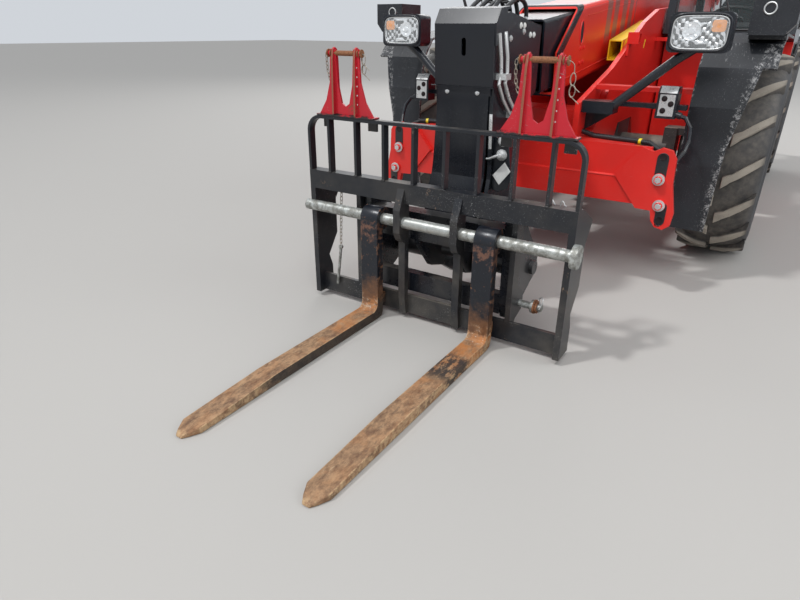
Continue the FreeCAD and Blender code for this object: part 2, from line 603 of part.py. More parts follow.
cushion = box(SEAT_X, SEAT_X + SEAT_L, 560, 1000, 960, 1070)
cushion = cushion.makeFillet(28, cushion.Edges)
backrest = plate_y([(SEAT_X, 1000), (SEAT_X + 80, 1000), (SEAT_X, 1640), (SEAT_X - 100, 1640)], 560, 1000)
seat = fuse([cushion, backrest, box(SEAT_X + 80, SEAT_X + SEAT_L - 100, 650, 910, CAB_FLOOR + PANEL, 990)])
save("seat", seat)
DASH_X = CAB_F - 54
console = plate_y([
    (DASH_X, CAB_FLOOR + PANEL), (DASH_X, 1270), (DASH_X + 3, 1340), (DASH_X + 15, 1400),
    (DASH_X - 65, 1430),
    (DASH_X - 110, 1380), (DASH_X - 145, 1250), (DASH_X - 145, 900),
    (DASH_X - 55, CAB_FLOOR + PANEL)], 600, 960)
WHEEL_R = 190.0
grip = [V(WHEEL_R + 13 * math.cos(math.radians(a)), 0, 13 * math.sin(math.radians(a))) for a in range(0,
    360, 60)]
wheel = facet(grip).revolve(V(0, 0, 0), V(0, 0, 1), 360)
wheel = wheel.fuse(rod((0, 0, -170), (0, 0, 10), 22)).fuse(box(-WHEEL_R, WHEEL_R, -14, 14, -6, 8))
wheel.Placement = place(-28, DASH_X - 195, 780, 1440)
save("console", console.fuse(wheel))


# Mudguards: bent sheets over the tyres.
def sheet(points, thickness, y0, y1):
    """Sheet of even thickness along an open (x, z) path."""
    count = len(points)
    other = []
    for index in range(count):
        before = points[max(index - 1, 0)]
        after = points[min(index + 1, count - 1)]
        dx = after[0] - before[0]
        dz = after[1] - before[1]
        size = math.hypot(dx, dz)
        other.append((points[index][0] - dz / size * thickness, points[index][1] + dx / size * thickness))
    return plate_y(points + other[::-1], y0, y1)


GUARD_F = [
    (AXLE_F - 640, 1325), (AXLE_F + 480, 1345), (AXLE_F + 700, 1300), (AXLE_F + 800, 1190),
    (AXLE_F + 838, 1000),
    (AXLE_F + 845, 700), (AXLE_F + 820, 330)]
guard = sheet(GUARD_F, 14, 842, 1040)
wing = sheet(GUARD_F[:4], 14, 1040, 1200)
taper = plate_x([(1040, 300), (1040, 1345), (1160, 1345), (1130, 1150), (1062, 800), (1041, 300)],
    AXLE_F + 600, AXLE_F + 900)
flap = sheet(GUARD_F[2:], 14, 1040, 1160).common(taper)
stays = [
    box(AXLE_F + 738, AXLE_F + 834, WEB_Y + WEB_T, 860, 1060, 1085),
    box(AXLE_F - 600, AXLE_F - 560, WEB_Y + WEB_T, 860, 1300, 1325)]
guard = fuse([guard, wing, flap])
box_top = plate_x([(1030, 1350), (1030, 1520), (1230, 1520), (1230, 1400), (1190, 1350)], AXLE_F + 560,
    AXLE_F + 800)
box_top = box_top.cut(plate_x([(1044, 1330), (1044, 1506), (1216, 1506), (1216, 1404), (1184, 1330)],
    AXLE_F + 540, AXLE_F + 786))
box_top = box_top.common(box(AXLE_F + 500, AXLE_F + 900, 1000, 1300, 1345, 1600))
shelf = box(AXLE_F + 450, AXLE_F + 700, 1030, 1200, 1330, 1356)
guard = fuse([guard, box_top, shelf])
save("mudguard_front_left", guard)
save("mudguard_front_right", flip(guard))
for stay in stays:
    frame += both(stay.cut(guard))
GUARD_R = [
    (AXLE_R + 598, 1150), (AXLE_R + 560, 1250), (AXLE_R + 380, 1330), (AXLE_R - 480, 1330),
    (AXLE_R - 700, 1230),
    (AXLE_R - 790, 1000)]
rear_guard = sheet(GUARD_R[::-1], -14, 842, 1215)
save("mudguard_rear_left", rear_guard)
save("mudguard_rear_right", flip(rear_guard))
for x in (AXLE_R - 460, AXLE_R + 260):
    frame += both(box(x, x + 60, WEB_Y + WEB_T, 900, 1325, 1355).cut(rear_guard))
save("chassis_frame", Part.makeCompound(frame))
light_bar = box(BACK + 100, BACK + 130, -760, 760, 1370, 1410)
lamp = box(BACK + 50, BACK + 101, 520, 760, 1340, 1440)
save("rear_lamps", fuse([light_bar] + both(lamp)))

# Headlamps on bent tube arms.
lamp_x = FRONT - 48
arm = fuse([
    rod((lamp_x - 40, 480, 990), (lamp_x - 60, 760, 1235), 24),
    rod((lamp_x - 60, 760, 1235), (lamp_x - 60, 850, 1300), 24), Part.makeSphere(24,
        V(lamp_x - 40, 480, 990)),
    Part.makeSphere(24, V(lamp_x - 60, 760, 1235))])
arm_root = box(lamp_x - 125, lamp_x - 10, WEB_Y + WEB_T, 500, 956, 1018)
gusset = plate_x([(WEB_Y + WEB_T, 850), (WEB_Y + WEB_T, 957), (490, 957)], lamp_x - 125, lamp_x - 113)
shade = box(lamp_x - 120, lamp_x, 710, 990, 1270, 1450)
shade = shade.makeFillet(28, [e for e in shade.Edges if abs(e.tangentAt(e.FirstParameter).x) > 0.99])
headlamp = fuse([arm, arm_root, gusset, shade])
save("headlamp_left", headlamp)
save("headlamp_right", flip(headlamp))
valve_side = [
    (FRONT - 228, 945), (FRONT - 138, 945), (FRONT - 138, 1072), (FRONT - 166, 1104),
    (FRONT - 212, 1104), (FRONT - 228, 1088)]
valve_hose = [
    (FRONT - 176, 796, 966), (FRONT - 172, 850, 952), (FRONT - 160, 884, 905), (FRONT - 140, 892, 845),
    (FRONT - 112, 884, 790), (FRONT - 60, 862, 748), (FRONT - 1, 850, 730)]
valve = fuse([
    plate_y(valve_side, 700, 800), box(FRONT - 258, FRONT - 198, 640, 840, 985, 1010),
    box(FRONT - 248, FRONT - 208, WEB_Y + WEB_T, 700, 985, 1010), bent_bar(valve_hose, 11),
    rod((FRONT - 176, 799, 966), (FRONT - 174, 826, 959), 17)])
valve = valve.cut(box(FRONT - 0.3, FRONT + 60, 700, 1000, 600, 900))
save("valve_block_left", valve)
save("valve_block_right", flip(valve))
prop_x = FRONT - 868
prop = plate_y([
    (prop_x, 1190), (prop_x, 1312), (prop_x - 790, 1440), (prop_x - 790, 1318)], WEB_Y - 87, WEB_Y)
prop = prop.cut(plate_y([
    (prop_x + 10, 1197), (prop_x + 10, 1302), (prop_x - 800, 1433),
    (prop_x - 800, 1328)], WEB_Y - 79, WEB_Y - 8))
save("boom_prop", prop)
left_x = CAB_F + 160
glass_left = fuse([
    box(left_x, left_x + 40, 1260, 1420, 1700, 2000), rod((left_x - 45, 1172, 1420),
        (left_x + 20, 1290, 1720), 12)])
right_x = AXLE_F - 511.5
glass_right = fuse([
    box(right_x, right_x + 40, -1420, -1260, 1700, 2000), rod((right_x, -1150, 1338),
        (right_x + 20, -1290, 1720), 12)])
save("mirror_left", cut(glass_left, [upper]))
save("mirror_right", cut(glass_right, [flip(guard)]))

# Boom sections.
outer = section_tube(-150, OUTER_L, OUTER_W, OUTER_H, OUTER_T, 26)
# The mouth is cut back above, as (x, z) from its lower corner, and edged with a dark collar.
MOUTH_RUN = 340.0
MOUTH_Z = 1255.0
MOUTH_TOP = 1530.0
mouth_cut = plate_y([
    (MOUTH_X, MOUTH_Z), (MOUTH_X - MOUTH_RUN, MOUTH_TOP), (MOUTH_X - MOUTH_RUN, 1900),
    (MOUTH_X + 300, 1900),
    (MOUTH_X + 300, MOUTH_Z)], -400, 400)
COLLAR_W = 46.0
band = plate_y([
    (MOUTH_X + 300, 900), (MOUTH_X + 300, MOUTH_Z), (MOUTH_X, MOUTH_Z), (MOUTH_X - MOUTH_RUN, MOUTH_TOP),
    (MOUTH_X - MOUTH_RUN - COLLAR_W, MOUTH_TOP - 20),
    (MOUTH_X - COLLAR_W, MOUTH_Z - 20), (MOUTH_X - COLLAR_W, 900)], -400, 400)
lip = 8.0
collar = round_rect(
    -OUTER_W / 2 - lip, OUTER_W / 2 + lip, -OUTER_H / 2 - lip, OUTER_H / 2 + lip, 30, OUTER_L - 700, OUTER_L)
collar = collar.cut(round_rect(-OUTER_W / 2, OUTER_W / 2, -OUTER_H / 2, OUTER_H / 2, 26, OUTER_L - 710,
    OUTER_L + 10))
save("boom_collar", on_boom(collar).common(band))
hub = across(0, 0, -OUTER_W / 2 - 16, OUTER_W / 2 + 16, 85)
lugs = []
for y in (-110, 85):
    lugs.append(plate_y([
        (LIFT_S - 260, -OUTER_H / 2 + 5), (LIFT_S - 60, LIFT_N - 60), (LIFT_S + 60, LIFT_N - 60),
        (LIFT_S + 220, -OUTER_H / 2 + 5)], y, y + 25))
lift = PAD_GAP - PAD_PLAY
roof = OUTER_H / 2 - OUTER_T
mouth = [
    box(OUTER_L - 640, OUTER_L - 460, -90, 90, roof - lift, roof + 1),
    box(OUTER_L - 200, OUTER_L - 30, -90, 90, -roof - 1, -roof + lift)]
outer = fuse([outer, hub] + lugs + mouth)
outer = outer.cut(across(0, 0, -400, 400, BOOM_PIN_R + PIN_CLEAR))
caps = [across(LIFT_S, LIFT_N, 110, 128, 52), across(LIFT_S, LIFT_N, -128, -110, 52)]
outer = outer.fuse(caps[0]).fuse(caps[1])
save("boom_outer", on_boom(outer).cut(mouth_cut))


def pads(s0, s1, width, height, lift):
    """Four running pads around a section, standing out by lift."""
    w = width / 2
    h = height / 2
    around = [box(s0, s1, -w * 0.6, w * 0.6, h - 1, h + lift),
        box(s0, s1, -w * 0.6, w * 0.6, -h - lift, -h + 1)]
    around += [box(s0, s1, w - 1, w + lift, -h * 0.7, h * 0.7),
        box(s0, s1, -w - lift, -w + 1, -h * 0.7, h * 0.7)]
    return around


mid = section_tube(250, OUTER_L + MID_OUT, MID_W, MID_H, STAGE_T, 20)
mid = fuse([mid] + pads(260, 420, MID_W, MID_H, PAD_GAP - PAD_PLAY))
save("boom_mid", on_boom(mid))

# Boom head: side plates around the tilt ram, joined to the inner section.
HEAD = [
    (-300, 1390), (-330, 1425), (-450, 1440), (-560, 1425), (-850, 1385), (-850, 1072), (-770, 1040),
    (-715, 960), (-690, 820), (-600, 520), (-450, 255), (-400, 215), (-350, 205), (-300, 218), (-262, 255),
    (-262, 320), (-300, 500), (-355, 700), (-355, 760), (-328, 1060)]
cheek = plate_y(moved(HEAD, CARR), HEAD_HALF - HEAD_T, HEAD_HALF)
head = both(cheek)
head_top = [(-850, 1385), (-560, 1425), (-450, 1440), (-330, 1425), (-340, 1405), (-450, 1422),
    (-560, 1407), (-850, 1367)]
head_back = [(-850, 1072), (-770, 1040), (-715, 960), (-690, 820), (-672, 822), (-697, 965), (-757, 1056),
    (-850, 1090)]
for outline in (head_top, head_back):
    head.append(plate_y(moved(outline, CARR), -HEAD_HALF, HEAD_HALF))
foot = across(TILT_X, TILT_Z, HEAD_HALF - HEAD_T, 345, 65)
head += both(foot)
head.append(across(RAM_TOP_X, RAM_TOP_Z, -HEAD_HALF - 12, HEAD_HALF + 12, 32))
INNER_L = (CARR - 500 - BOOM_X) * SLOPE
inner = section_tube(300, INNER_L, INNER_W, INNER_H, STAGE_T, 16)
inner = on_boom(fuse([inner] + pads(310, 470, INNER_W, INNER_H, PAD_GAP - PAD_PLAY)))
inner = inner.cut(box(CARR - 752, CARR, -400, 400, 0, 2000))
head_all = fuse(head + [inner])
head_all = head_all.cut(across(TILT_X, TILT_Z, -400, 400, TILT_PIN_R + PIN_CLEAR))
save("boom_inner", head_all)
COVER = [(-300, 500), (-355, 700), (-355, 760), (-328, 1060), (-322, 1130)]
cover = sheet(moved(COVER[::-1], CARR), 9, -190, 140)
trim = plate_x([(-182, 640), (-134, 1112), (-134, 1140), (130, 1140), (130, 1112), (112, 500),
    (-182, 500)], CARR - 500, CARR)
cover = cover.common(trim)
FLAP = [(-321, 1130), (-300, 1390), (-335, 1442), (-450, 1452)]
flap = [sheet(moved(FLAP[::-1], CARR), 11, -HEAD_HALF, HEAD_HALF)]
lip_top = moved([(-336, 1090), (-327, 1128), (-309, 1128), (-318, 1088)], CARR)
flap.append(plate_y(lip_top, -138, 138))
hood_side = plate_y(moved([(-289, 1392), (-330, 1452), (-400, 1452), (-372, 1330), (-302, 1300)], CARR),
    HEAD_HALF, HEAD_HALF + 8)
flap.append(hood_side)
cover = fuse([cover] + flap)
oval = rod((CARR - 400, 0, 1268), (CARR - 200, 0, 1268),
    11).fuse(rod((CARR - 400, 0, 1322), (CARR - 200, 0, 1322), 11))
oval = oval.fuse(box(CARR - 400, CARR - 200, -11, 11, 1268, 1322))
head_cover = cut(cover, [oval, head_all])
save("head_cover", head_cover)
# Two steel pipes down the head's left side, each bent at every point of its path.
PIPE_R = 8.0
PIPES = [
    # (x, y, z) from the carriage plane
    [(-318, 162, 1352), (-345, 166, 1250), (-352, 168, 1190), (-335, 168, 1140), (-395, 168, 1070),
        (-505, 168, 985)],
    [(-338, 182, 1358), (-368, 186, 1256), (-374, 188, 1190), (-357, 188, 1146), (-417, 188, 1076),
        (-527, 188, 991)],
    [(-330, 142, 1010), (-334, 142, 960), (-345, 142, 850)],
]
pipe = []
for path in PIPES:
    for a, b in zip(path, path[1:]):
        pipe.append(rod((CARR + a[0], a[1], a[2]), (CARR + b[0], b[1], b[2]), PIPE_R))
    for a in path[1:-1]:
        pipe.append(Part.makeSphere(PIPE_R, V(CARR + a[0], a[1], a[2])))
pipe.append(box(CARR - 392, CARR - 338, HEAD_HALF, 200, 1160, 1186))
pipe.append(box(CARR - 545, CARR - 487, HEAD_HALF, 200, 978, 1004))
save("boom_pipes", cut(fuse(pipe), [head_all, head_cover]))

# Tilt ram and lift ram, each a barrel and a rod along its own line.
def ram(x0, z0, x1, z1, barrel_r, rod_r, barrel_l, eye_r, eye_w, clear, rod_from):
    """Barrel and rod between two pins, in the machine's frame."""
    length = math.hypot(x1 - x0, z1 - z0)
    angle = -math.degrees(math.atan2(z1 - z0, x1 - x0))
    barrel = fuse([rod((0, 0, 0), (barrel_l, 0, 0), barrel_r), across(0, 0, -eye_w / 2, eye_w / 2, eye_r)])
    barrel = barrel.cut(rod((eye_r + 20, 0, 0), (barrel_l + 10, 0, 0), rod_r + PAD_PLAY))
    barrel = barrel.cut(across(0, 0, -300, 300, clear))
    rod_part = fuse([rod((rod_from, 0, 0), (length - eye_r * 0.5, 0, 0), rod_r),
        across(length, 0, -eye_w / 2, eye_w / 2, eye_r)])
    for shape in (barrel, rod_part):
        shape.Placement = place(angle, x0, 0, z0)
    return barrel, rod_part


tilt_barrel, tilt_rod = ram(RAM_TOP_X, RAM_TOP_Z, EAR_X, EAR_Z, 52, 28, 640, 50, 140, 32 + PIN_CLEAR, 400)
save("tilt_barrel", tilt_barrel)
save("tilt_rod", tilt_rod)
LIFT_END = boom_point(LIFT_S, LIFT_N)
LIFT_SPAN = math.hypot(LIFT_END[0] - LIFT_X, LIFT_END[1] - LIFT_Z)
lift_barrel, lift_rod = ram(
    LIFT_X, LIFT_Z, LIFT_END[0], LIFT_END[1], LIFT_R, 48, LIFT_SPAN - 118, 62, 150, 40 + PIN_CLEAR, 110)
save("lift_barrel", lift_barrel)
save("lift_rod", lift_rod)

# Quick-fit coupler with its ears, side plates and the locking pin.
coupler = both(plate_y(moved([
    (-72, 610), (-190, 612), (-300, 480), (-430, 350), (-430, 255), (-340, 205), (-200, 130),
    (-100, 120), (-72, 200)], CARR), 365, 405))
coupler += both(plate_y(moved([
    (-90, 560), (-160, 560), (-316, 404), (-575, 218), (-592, 160), (-560, 118), (-490, 120),
    (-350, 205), (-220, 245), (-90, 400)], CARR), 85, 115))
coupler.append(box(CARR - 160, CARR - 80, -365, 365, 420, 560))
coupler.append(box(CARR - 130, CARR - 80, -365, 365, 140, 240))
coupler.append(across(TILT_X, TILT_Z, -425, 425, TILT_PIN_R))
caps = [across(EAR_X, EAR_Z, 114, 126, 48), across(EAR_X, EAR_Z, -126, -114, 48)]
coupler += caps
coupler = fuse(coupler).cut(across(CARR - 150, 190, -500, 500, 18.5))
save("coupler", coupler)
pin = fuse([across(CARR - 150, 190, -450, 550, 17.5), across(CARR - 150, 190, 500, 512, 32),
    across(CARR - 150, 190, -470, -450, 30)])
save("locking_pin", pin)

# Fork frame, shaft and load guard.
SIDE = [(0, BEAM_Z1), (-62, BEAM_Z1), (-235, 622), (-164, 528), (-166, 335), (-90, 225), (-115, 156),
    (-119, 28), (0, 28)]
side_plate = plate_y(moved(SIDE, CARR), CARR_HALF - PLATE_T, CARR_HALF)
fork_frame = both(side_plate)
fork_frame.append(box(CARR - 62, CARR, -CARR_HALF + 1, CARR_HALF - 1, BEAM_Z0, BEAM_Z1))
fork_frame.append(box(CARR - 62, CARR - 43, -CARR_HALF + 1, CARR_HALF - 1, 30, 131))
for y in (-140, 165):
    rib = [(-45, 30), (-45, 712), (-5, 700), (28, 618), (40, 590), (40, 480), (20, 440), (-10, 420),
        (-10, 130), (-25, 30)]
    fork_frame.append(plate_y(moved(rib, CARR), y - 18.5, y + 18.5))
tie = [(-44, 30), (-44, 712), (-62, 712), (-110, 640), (-110, 300), (-190, 230), (-190, 150), (-110, 120),
    (-62, 30)]
fork_frame += both(plate_y(moved(tie, CARR), 412, 437))
fork_frame = fuse(fork_frame)
fork_frame = cut(fork_frame, [across(CARR, SHAFT_Z, -800, 800, SHAFT_R),
    across(CARR - 150, 190, -500, 500, 18.5)])
save("fork_frame", fork_frame)
cap = across(CARR, SHAFT_Z, CARR_HALF, CARR_HALF + 26, 52)
save("fork_shaft", fuse([across(CARR, SHAFT_Z, -CARR_HALF - 22, CARR_HALF + 26, SHAFT_R), cap]))
GUARD_R0 = 80.0
GUARD_T = 16.0
guard_out = plate_x([
    (-CARR_HALF, BEAM_Z1), (-CARR_HALF, RACK_Z), (CARR_HALF, RACK_Z),
    (CARR_HALF, BEAM_Z1)], CARR - 40, CARR)
inside = CARR_HALF - GUARD_T
guard_in = plate_x([
    (-inside, BEAM_Z1 - 10), (-inside, RACK_Z - GUARD_T), (inside, RACK_Z - GUARD_T),
    (inside, BEAM_Z1 - 10)],
    CARR - 50, CARR + 10)


def top_edges(shape):
    """Edges along X at the guard's upper corners."""
    along = [e for e in shape.Edges if abs(e.tangentAt(e.FirstParameter).x) > 0.99]
    return [e for e in along if e.BoundBox.ZMin > (BEAM_Z1 + RACK_Z) / 2]


guard_out = guard_out.makeFillet(GUARD_R0, top_edges(guard_out))
guard_in = guard_in.makeFillet(GUARD_R0 - GUARD_T, top_edges(guard_in))
rack = [guard_out.cut(guard_in)]
for index in range(8):
    y = (index - 3.5) * BAR_PITCH
    rack.append(box(CARR - 40, CARR, y - 7.5, y + 7.5, BEAM_Z1, RACK_Z - 10))
save("load_guard", fuse(rack))


def bracket(middle):
    """Bracket clamped on the top rail: two cheeks, a notched gusset, dark straps and a cross pin."""
    spread = 64.0
    gusset = plate_x([
        (middle - 160, RACK_Z + 6), (middle - 116, 1056), (middle - 90, 1140),
        (middle - 82, 1282), (middle - 52, 1282),
        (middle - 42, 1130), (middle - 22, 1046), (middle, 1032), (middle + 22, 1046), (middle + 42, 1130),
        (middle + 52, 1282), (middle + 82, 1282), (middle + 90, 1140), (middle + 116, 1056),
        (middle + 160, RACK_Z + 6),
    ], CARR - 24, CARR - 14)
    base = box(CARR - 52, CARR + 2, middle - 168, middle + 168, RACK_Z, RACK_Z + 8)
    cheek = moved([(-54, RACK_Z + 6), (-46, 1240), (-38, 1282), (-24, 1290), (-10, 1282), (-2, 1240),
        (4, RACK_Z + 6)], CARR)
    parts = [gusset, base, across(CARR - 24, 1264, middle - spread - 34, middle + spread + 30, 11)]
    for y in (middle - spread - 5, middle + spread - 5):
        parts.append(plate_y(cheek, y, y + 10))
    for y in (middle - 160, middle + 110):
        parts.append(box(CARR - 52, CARR - 40, y, y + 50, RACK_Z - 58, RACK_Z + 2))
    return fuse(parts)


save("pin_bracket_left", bracket(487))
save("pin_bracket_right", bracket(-464))

# Forks hang on the shaft by an eye and rest on the lower bar.
FORK_TIP = FORK_FACE + FORK_L
FORK_SIDE = [
    (FORK_FACE, 400), (FORK_FACE, 80), (FORK_FACE + 10, 60), (FORK_FACE + 30, FORK_T),
    (FORK_TIP - 460, FORK_T),
    (FORK_TIP - 60, 27), (FORK_TIP - 6, 14), (FORK_TIP, 8), (FORK_TIP, 2), (44, 2), (20, 10), (9, 30),
    (7, 60), (7, 400)]
for hand, y in FORK_Y.items():
    half = FORK_W / 2
    fork = plate_y(moved(FORK_SIDE, CARR), y - half, y + half)
    tip = plate_z([
        (CARR - 60, y - half), (CARR - 60, y + half),
        (CARR + FORK_TIP - 66, y + half), (CARR + FORK_TIP - 24, y + half - 20),
        (CARR + FORK_TIP, y + 14), (CARR + FORK_TIP, y - 14), (CARR + FORK_TIP - 24, y - half + 20),
        (CARR + FORK_TIP - 66, y - half)], 0, 700)
    fork = fork.common(tip)
    shank = plate_y(moved([(7, 390), (FORK_FACE, 390), (FORK_FACE, 500), (50, 552), (7, 552)], CARR),
        y - half, y + half)
    eye = across(CARR, SHAFT_Z, y - half, y + half, 57)
    rest = box(CARR - 37, CARR + 10, y - 35, y + 35, 60, 120)
    fork = fuse([fork, shank, eye, rest]).cut(across(CARR, SHAFT_Z, y - 200, y + 200, SHAFT_R + PIN_CLEAR))
    save("fork_" + hand, fork)
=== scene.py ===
# %% [markdown]
# # A telehandler, finished for the eye
# The engineering model gives every plate, tube, wheel and joint at its true place. This
# file loads that model as a fixed frame and gives it its looks: paint, rust, rubber and
# glass, and the small forms that a builder would bolt on. Everything is in metres, with
# X forward to the fork tips, Y to the machine's left and Z up.

# %% Load the frame
import bmesh
import bpy
import math
import numpy as np
from mathutils import Matrix, Vector


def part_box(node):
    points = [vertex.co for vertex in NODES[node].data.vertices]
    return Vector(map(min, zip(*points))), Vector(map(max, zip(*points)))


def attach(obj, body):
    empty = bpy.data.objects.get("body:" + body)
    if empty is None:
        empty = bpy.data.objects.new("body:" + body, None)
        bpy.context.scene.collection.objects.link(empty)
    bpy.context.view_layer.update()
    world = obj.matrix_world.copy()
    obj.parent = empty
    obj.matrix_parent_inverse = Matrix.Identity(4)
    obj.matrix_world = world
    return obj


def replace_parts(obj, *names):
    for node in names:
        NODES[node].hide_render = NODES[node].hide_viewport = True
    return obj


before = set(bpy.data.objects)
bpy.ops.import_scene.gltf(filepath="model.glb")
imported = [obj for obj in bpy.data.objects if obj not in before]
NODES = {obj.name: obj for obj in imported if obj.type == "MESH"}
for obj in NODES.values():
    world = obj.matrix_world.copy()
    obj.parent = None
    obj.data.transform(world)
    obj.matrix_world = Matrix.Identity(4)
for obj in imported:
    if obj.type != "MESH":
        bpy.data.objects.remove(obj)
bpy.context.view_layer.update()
SIDES = (("left", 1), ("right", -1))    # name of a side, and the sign of its Y
FRONT_AXLE = 0.1115
REAR_AXLE = FRONT_AXLE - 2.850
AXLE_HEIGHT = 0.627
CARRIAGE = FRONT_AXLE + 2.170           # front plane of the fork carriage
BOOM_PIVOT = (REAR_AXLE - 0.260, 1.690) # x and z of the boom's pin
BOOM_TILT = math.atan2(0.4656, CARRIAGE - 0.850 - BOOM_PIVOT[0])
BOOM_MOUTH = 4.238                      # along the boom, from its pivot
BOOM_HOLE = (3.837, 0.068)              # hand hole, along the boom and above its middle line
TURN = 2 * math.pi

# %% [markdown]
# The camera stands where the photographer stood: just ahead of the fork tips, left of the
# machine and at breast height, looking back and down. The direction is kept as two unit
# vectors, forward and up, so the matrix can be built without any guess about angles.

# %% Camera
def put(name, data):
    """A new object in the scene that shows this data."""
    thing = bpy.data.objects.new(name, data)
    bpy.context.scene.collection.objects.link(thing)
    return thing


FRAME_WIDTH, FOCAL_PIXELS, SENSOR = 800.0, 579.9, 36.0
EYE = Vector((CARRIAGE + 2.2532, 1.320, 1.363))
YAW, PITCH, ROLL = (math.radians(a) for a in (212.96, -24.98, 0.394))
camera_data = bpy.data.cameras.new("camera")
camera_data.sensor_width = SENSOR
camera_data.lens = SENSOR * FOCAL_PIXELS / FRAME_WIDTH
camera_data.clip_end = 200.0
camera = put("camera", camera_data)
forward = Vector((math.cos(PITCH) * math.cos(YAW), math.cos(PITCH) * math.sin(YAW), math.sin(PITCH)))
side = Vector((math.sin(YAW), -math.cos(YAW), 0.0))
upright = side.cross(forward)
right = math.cos(ROLL) * side + math.sin(ROLL) * upright
up = -math.sin(ROLL) * side + math.cos(ROLL) * upright
camera.matrix_world = Matrix.Translation(EYE) @ Matrix((right, up, -forward)).transposed().to_4x4()
bpy.context.scene.camera = camera
print("camera at", tuple(round(c, 3) for c in EYE))

# %% [markdown]
# A plain pale floor, a low soft sun and three large lamps stand in for a bright hazy day.
# Red paint and black steel both need broad, soft highlights, and the sun gives their edges a
# crisp side: small lamps alone would leave hard white dots. The sky lights the machine
# weakly, but the camera, glass and polished metal see a paler backdrop in its place.

# %% Stage and light
floor_look = bpy.data.materials.new("plain_floor")
floor_look.use_nodes = True
floor_face = floor_look.node_tree.nodes["Principled BSDF"]
floor_face.inputs["Base Color"].default_value = (0.42, 0.405, 0.385, 1.0)
floor_face.inputs["Roughness"].default_value = 0.9
floor_mesh = bpy.data.meshes.new("floor")
floor_mesh.from_pydata([(-60, -60, 0), (60, -60, 0), (60, 60, 0), (-60, 60, 0)], [], [(0, 1, 2, 3)])
floor_mesh.materials.append(floor_look)
put("floor", floor_mesh)


def lamp(name, kind, energy, place, way):
    """A lamp of a kind at a place that shines in a direction."""
    data = bpy.data.lights.new(name, kind)
    data.energy = energy
    turned_to = Vector(way).normalized().to_track_quat("-Z", "Y").to_matrix().to_4x4()
    put(name, data).matrix_world = Matrix.Translation(place) @ turned_to
    return data


for name, place, aim, watts in (("sky_front", (8.0, 3.0, 9.0), (0.5, 0.0, 0.8), 620.0),
                                ("sky_left", (-1.0, 10.0, 7.0), (0.0, 0.0, 0.8), 430.0),
                                ("sky_back", (-9.0, -5.0, 8.0), (0.0, 0.0, 1.0), 520.0)):
    lamp(name, "AREA", watts, place, Vector(aim) - Vector(place)).size = 7.0
lamp("sun", "SUN", 1.6, (0, 0, 0), (-1.0, 0.75, -1.9)).angle = math.radians(4.0)
world = bpy.data.worlds.new("sky")
bpy.context.scene.world = world
world.use_nodes = True
tree = world.node_tree
sky, backdrop = tree.nodes["Background"], tree.nodes.new("ShaderNodeBackground")
rays = tree.nodes.new("ShaderNodeLightPath").outputs
seen, either, both_skies = (tree.nodes.new("ShaderNode" + kind) for kind in ("Math", "Math", "MixShader"))
seen.operation = either.operation = "MAXIMUM"
sky.inputs["Color"].default_value = (0.80, 0.86, 0.93, 1.0)
sky.inputs["Strength"].default_value = 0.48
backdrop.inputs["Color"].default_value = (0.63, 0.66, 0.70, 1.0)
for output, socket in ((rays["Is Camera Ray"], seen.inputs[0]), (rays["Is Transmission Ray"], seen.inputs[1]),
                       (seen.outputs[0], either.inputs[0]), (rays["Is Glossy Ray"], either.inputs[1]),
                       (either.outputs[0], both_skies.inputs[0]), (sky.outputs[0], both_skies.inputs[1]),
                       (backdrop.outputs[0], both_skies.inputs[2]),
                       (both_skies.outputs[0], tree.nodes["World Output"].inputs["Surface"])):
    tree.links.new(output, socket)
bpy.context.scene.view_settings.view_transform = "Standard"
print("stage and lamps ready")

# %% [markdown]
# ## Shapes from formulas
# A new piece could be modelled by hand, vertex by vertex, but nearly all of this machine's
# small parts are one of four things: a bar along a path, a profile turned round an axis, a
# flat plate with an outline, or a rounded block. Each is a grid of points that numpy works
# out in one go, so one function turns any grid into a mesh, and copies of a part are just
# one more axis of the same array.

# %% One mesh from a grid of points
def surface(name, grid, look, body, along=False, crease=38, slot=None):
    """A piece that rides on a body, from a grid of points joined by four-sided faces.

    The grid is (rows, columns, 3), or (copies, rows, columns, 3) for many like parts. Point
    (r, c) has number r * columns + c, and a face joins it to (r, c + 1), (r + 1, c + 1) and
    (r + 1, c), with c + 1 wrapping to 0. The two end rows are capped, or joined when the
    shape also closes along its rows. Doubles are merged and all faces turned outwards.
    """
    grid = np.asarray(grid, dtype=float)
    grid = grid.reshape((-1,) + grid.shape[-3:])
    copies, rows, columns = grid.shape[:3]
    r, c = np.meshgrid(np.arange(rows if along else rows - 1), np.arange(columns), indexing="ij")
    r, c = r.ravel(), c.ravel()
    below, beside = (r + 1) % rows, (c + 1) % columns
    quads = np.stack([r * columns + c, r * columns + beside, below * columns + beside, below * columns + c], 1)
    first = np.arange(copies)[:, None, None] * rows * columns
    faces = (quads[None] + first).reshape(-1, 4).tolist()
    if not along:
        ring = np.arange(columns)
        ends = np.stack([ring[::-1], ring + (rows - 1) * columns])
        faces += (ends[None] + first).reshape(-1, columns).tolist()
    mesh = bpy.data.meshes.new(name)
    mesh.from_pydata(grid.reshape(-1, 3).tolist(), [], faces)
    work = bmesh.new()
    work.from_mesh(mesh)
    bmesh.ops.remove_doubles(work, verts=work.verts, dist=0.00002)
    bmesh.ops.recalc_face_normals(work, faces=work.faces)
    work.to_mesh(mesh)
    work.free()
    mesh.shade_smooth()
    mesh.set_sharp_from_angle(angle=math.radians(crease))
    mesh.materials.append(look)
    thing = put(name, mesh)
    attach(thing, body)
    return thing


def unit(vector):
    """Vectors divided by their own length."""
    vector = np.asarray(vector, dtype=float)
    return vector / np.linalg.norm(vector, axis=-1, keepdims=True)


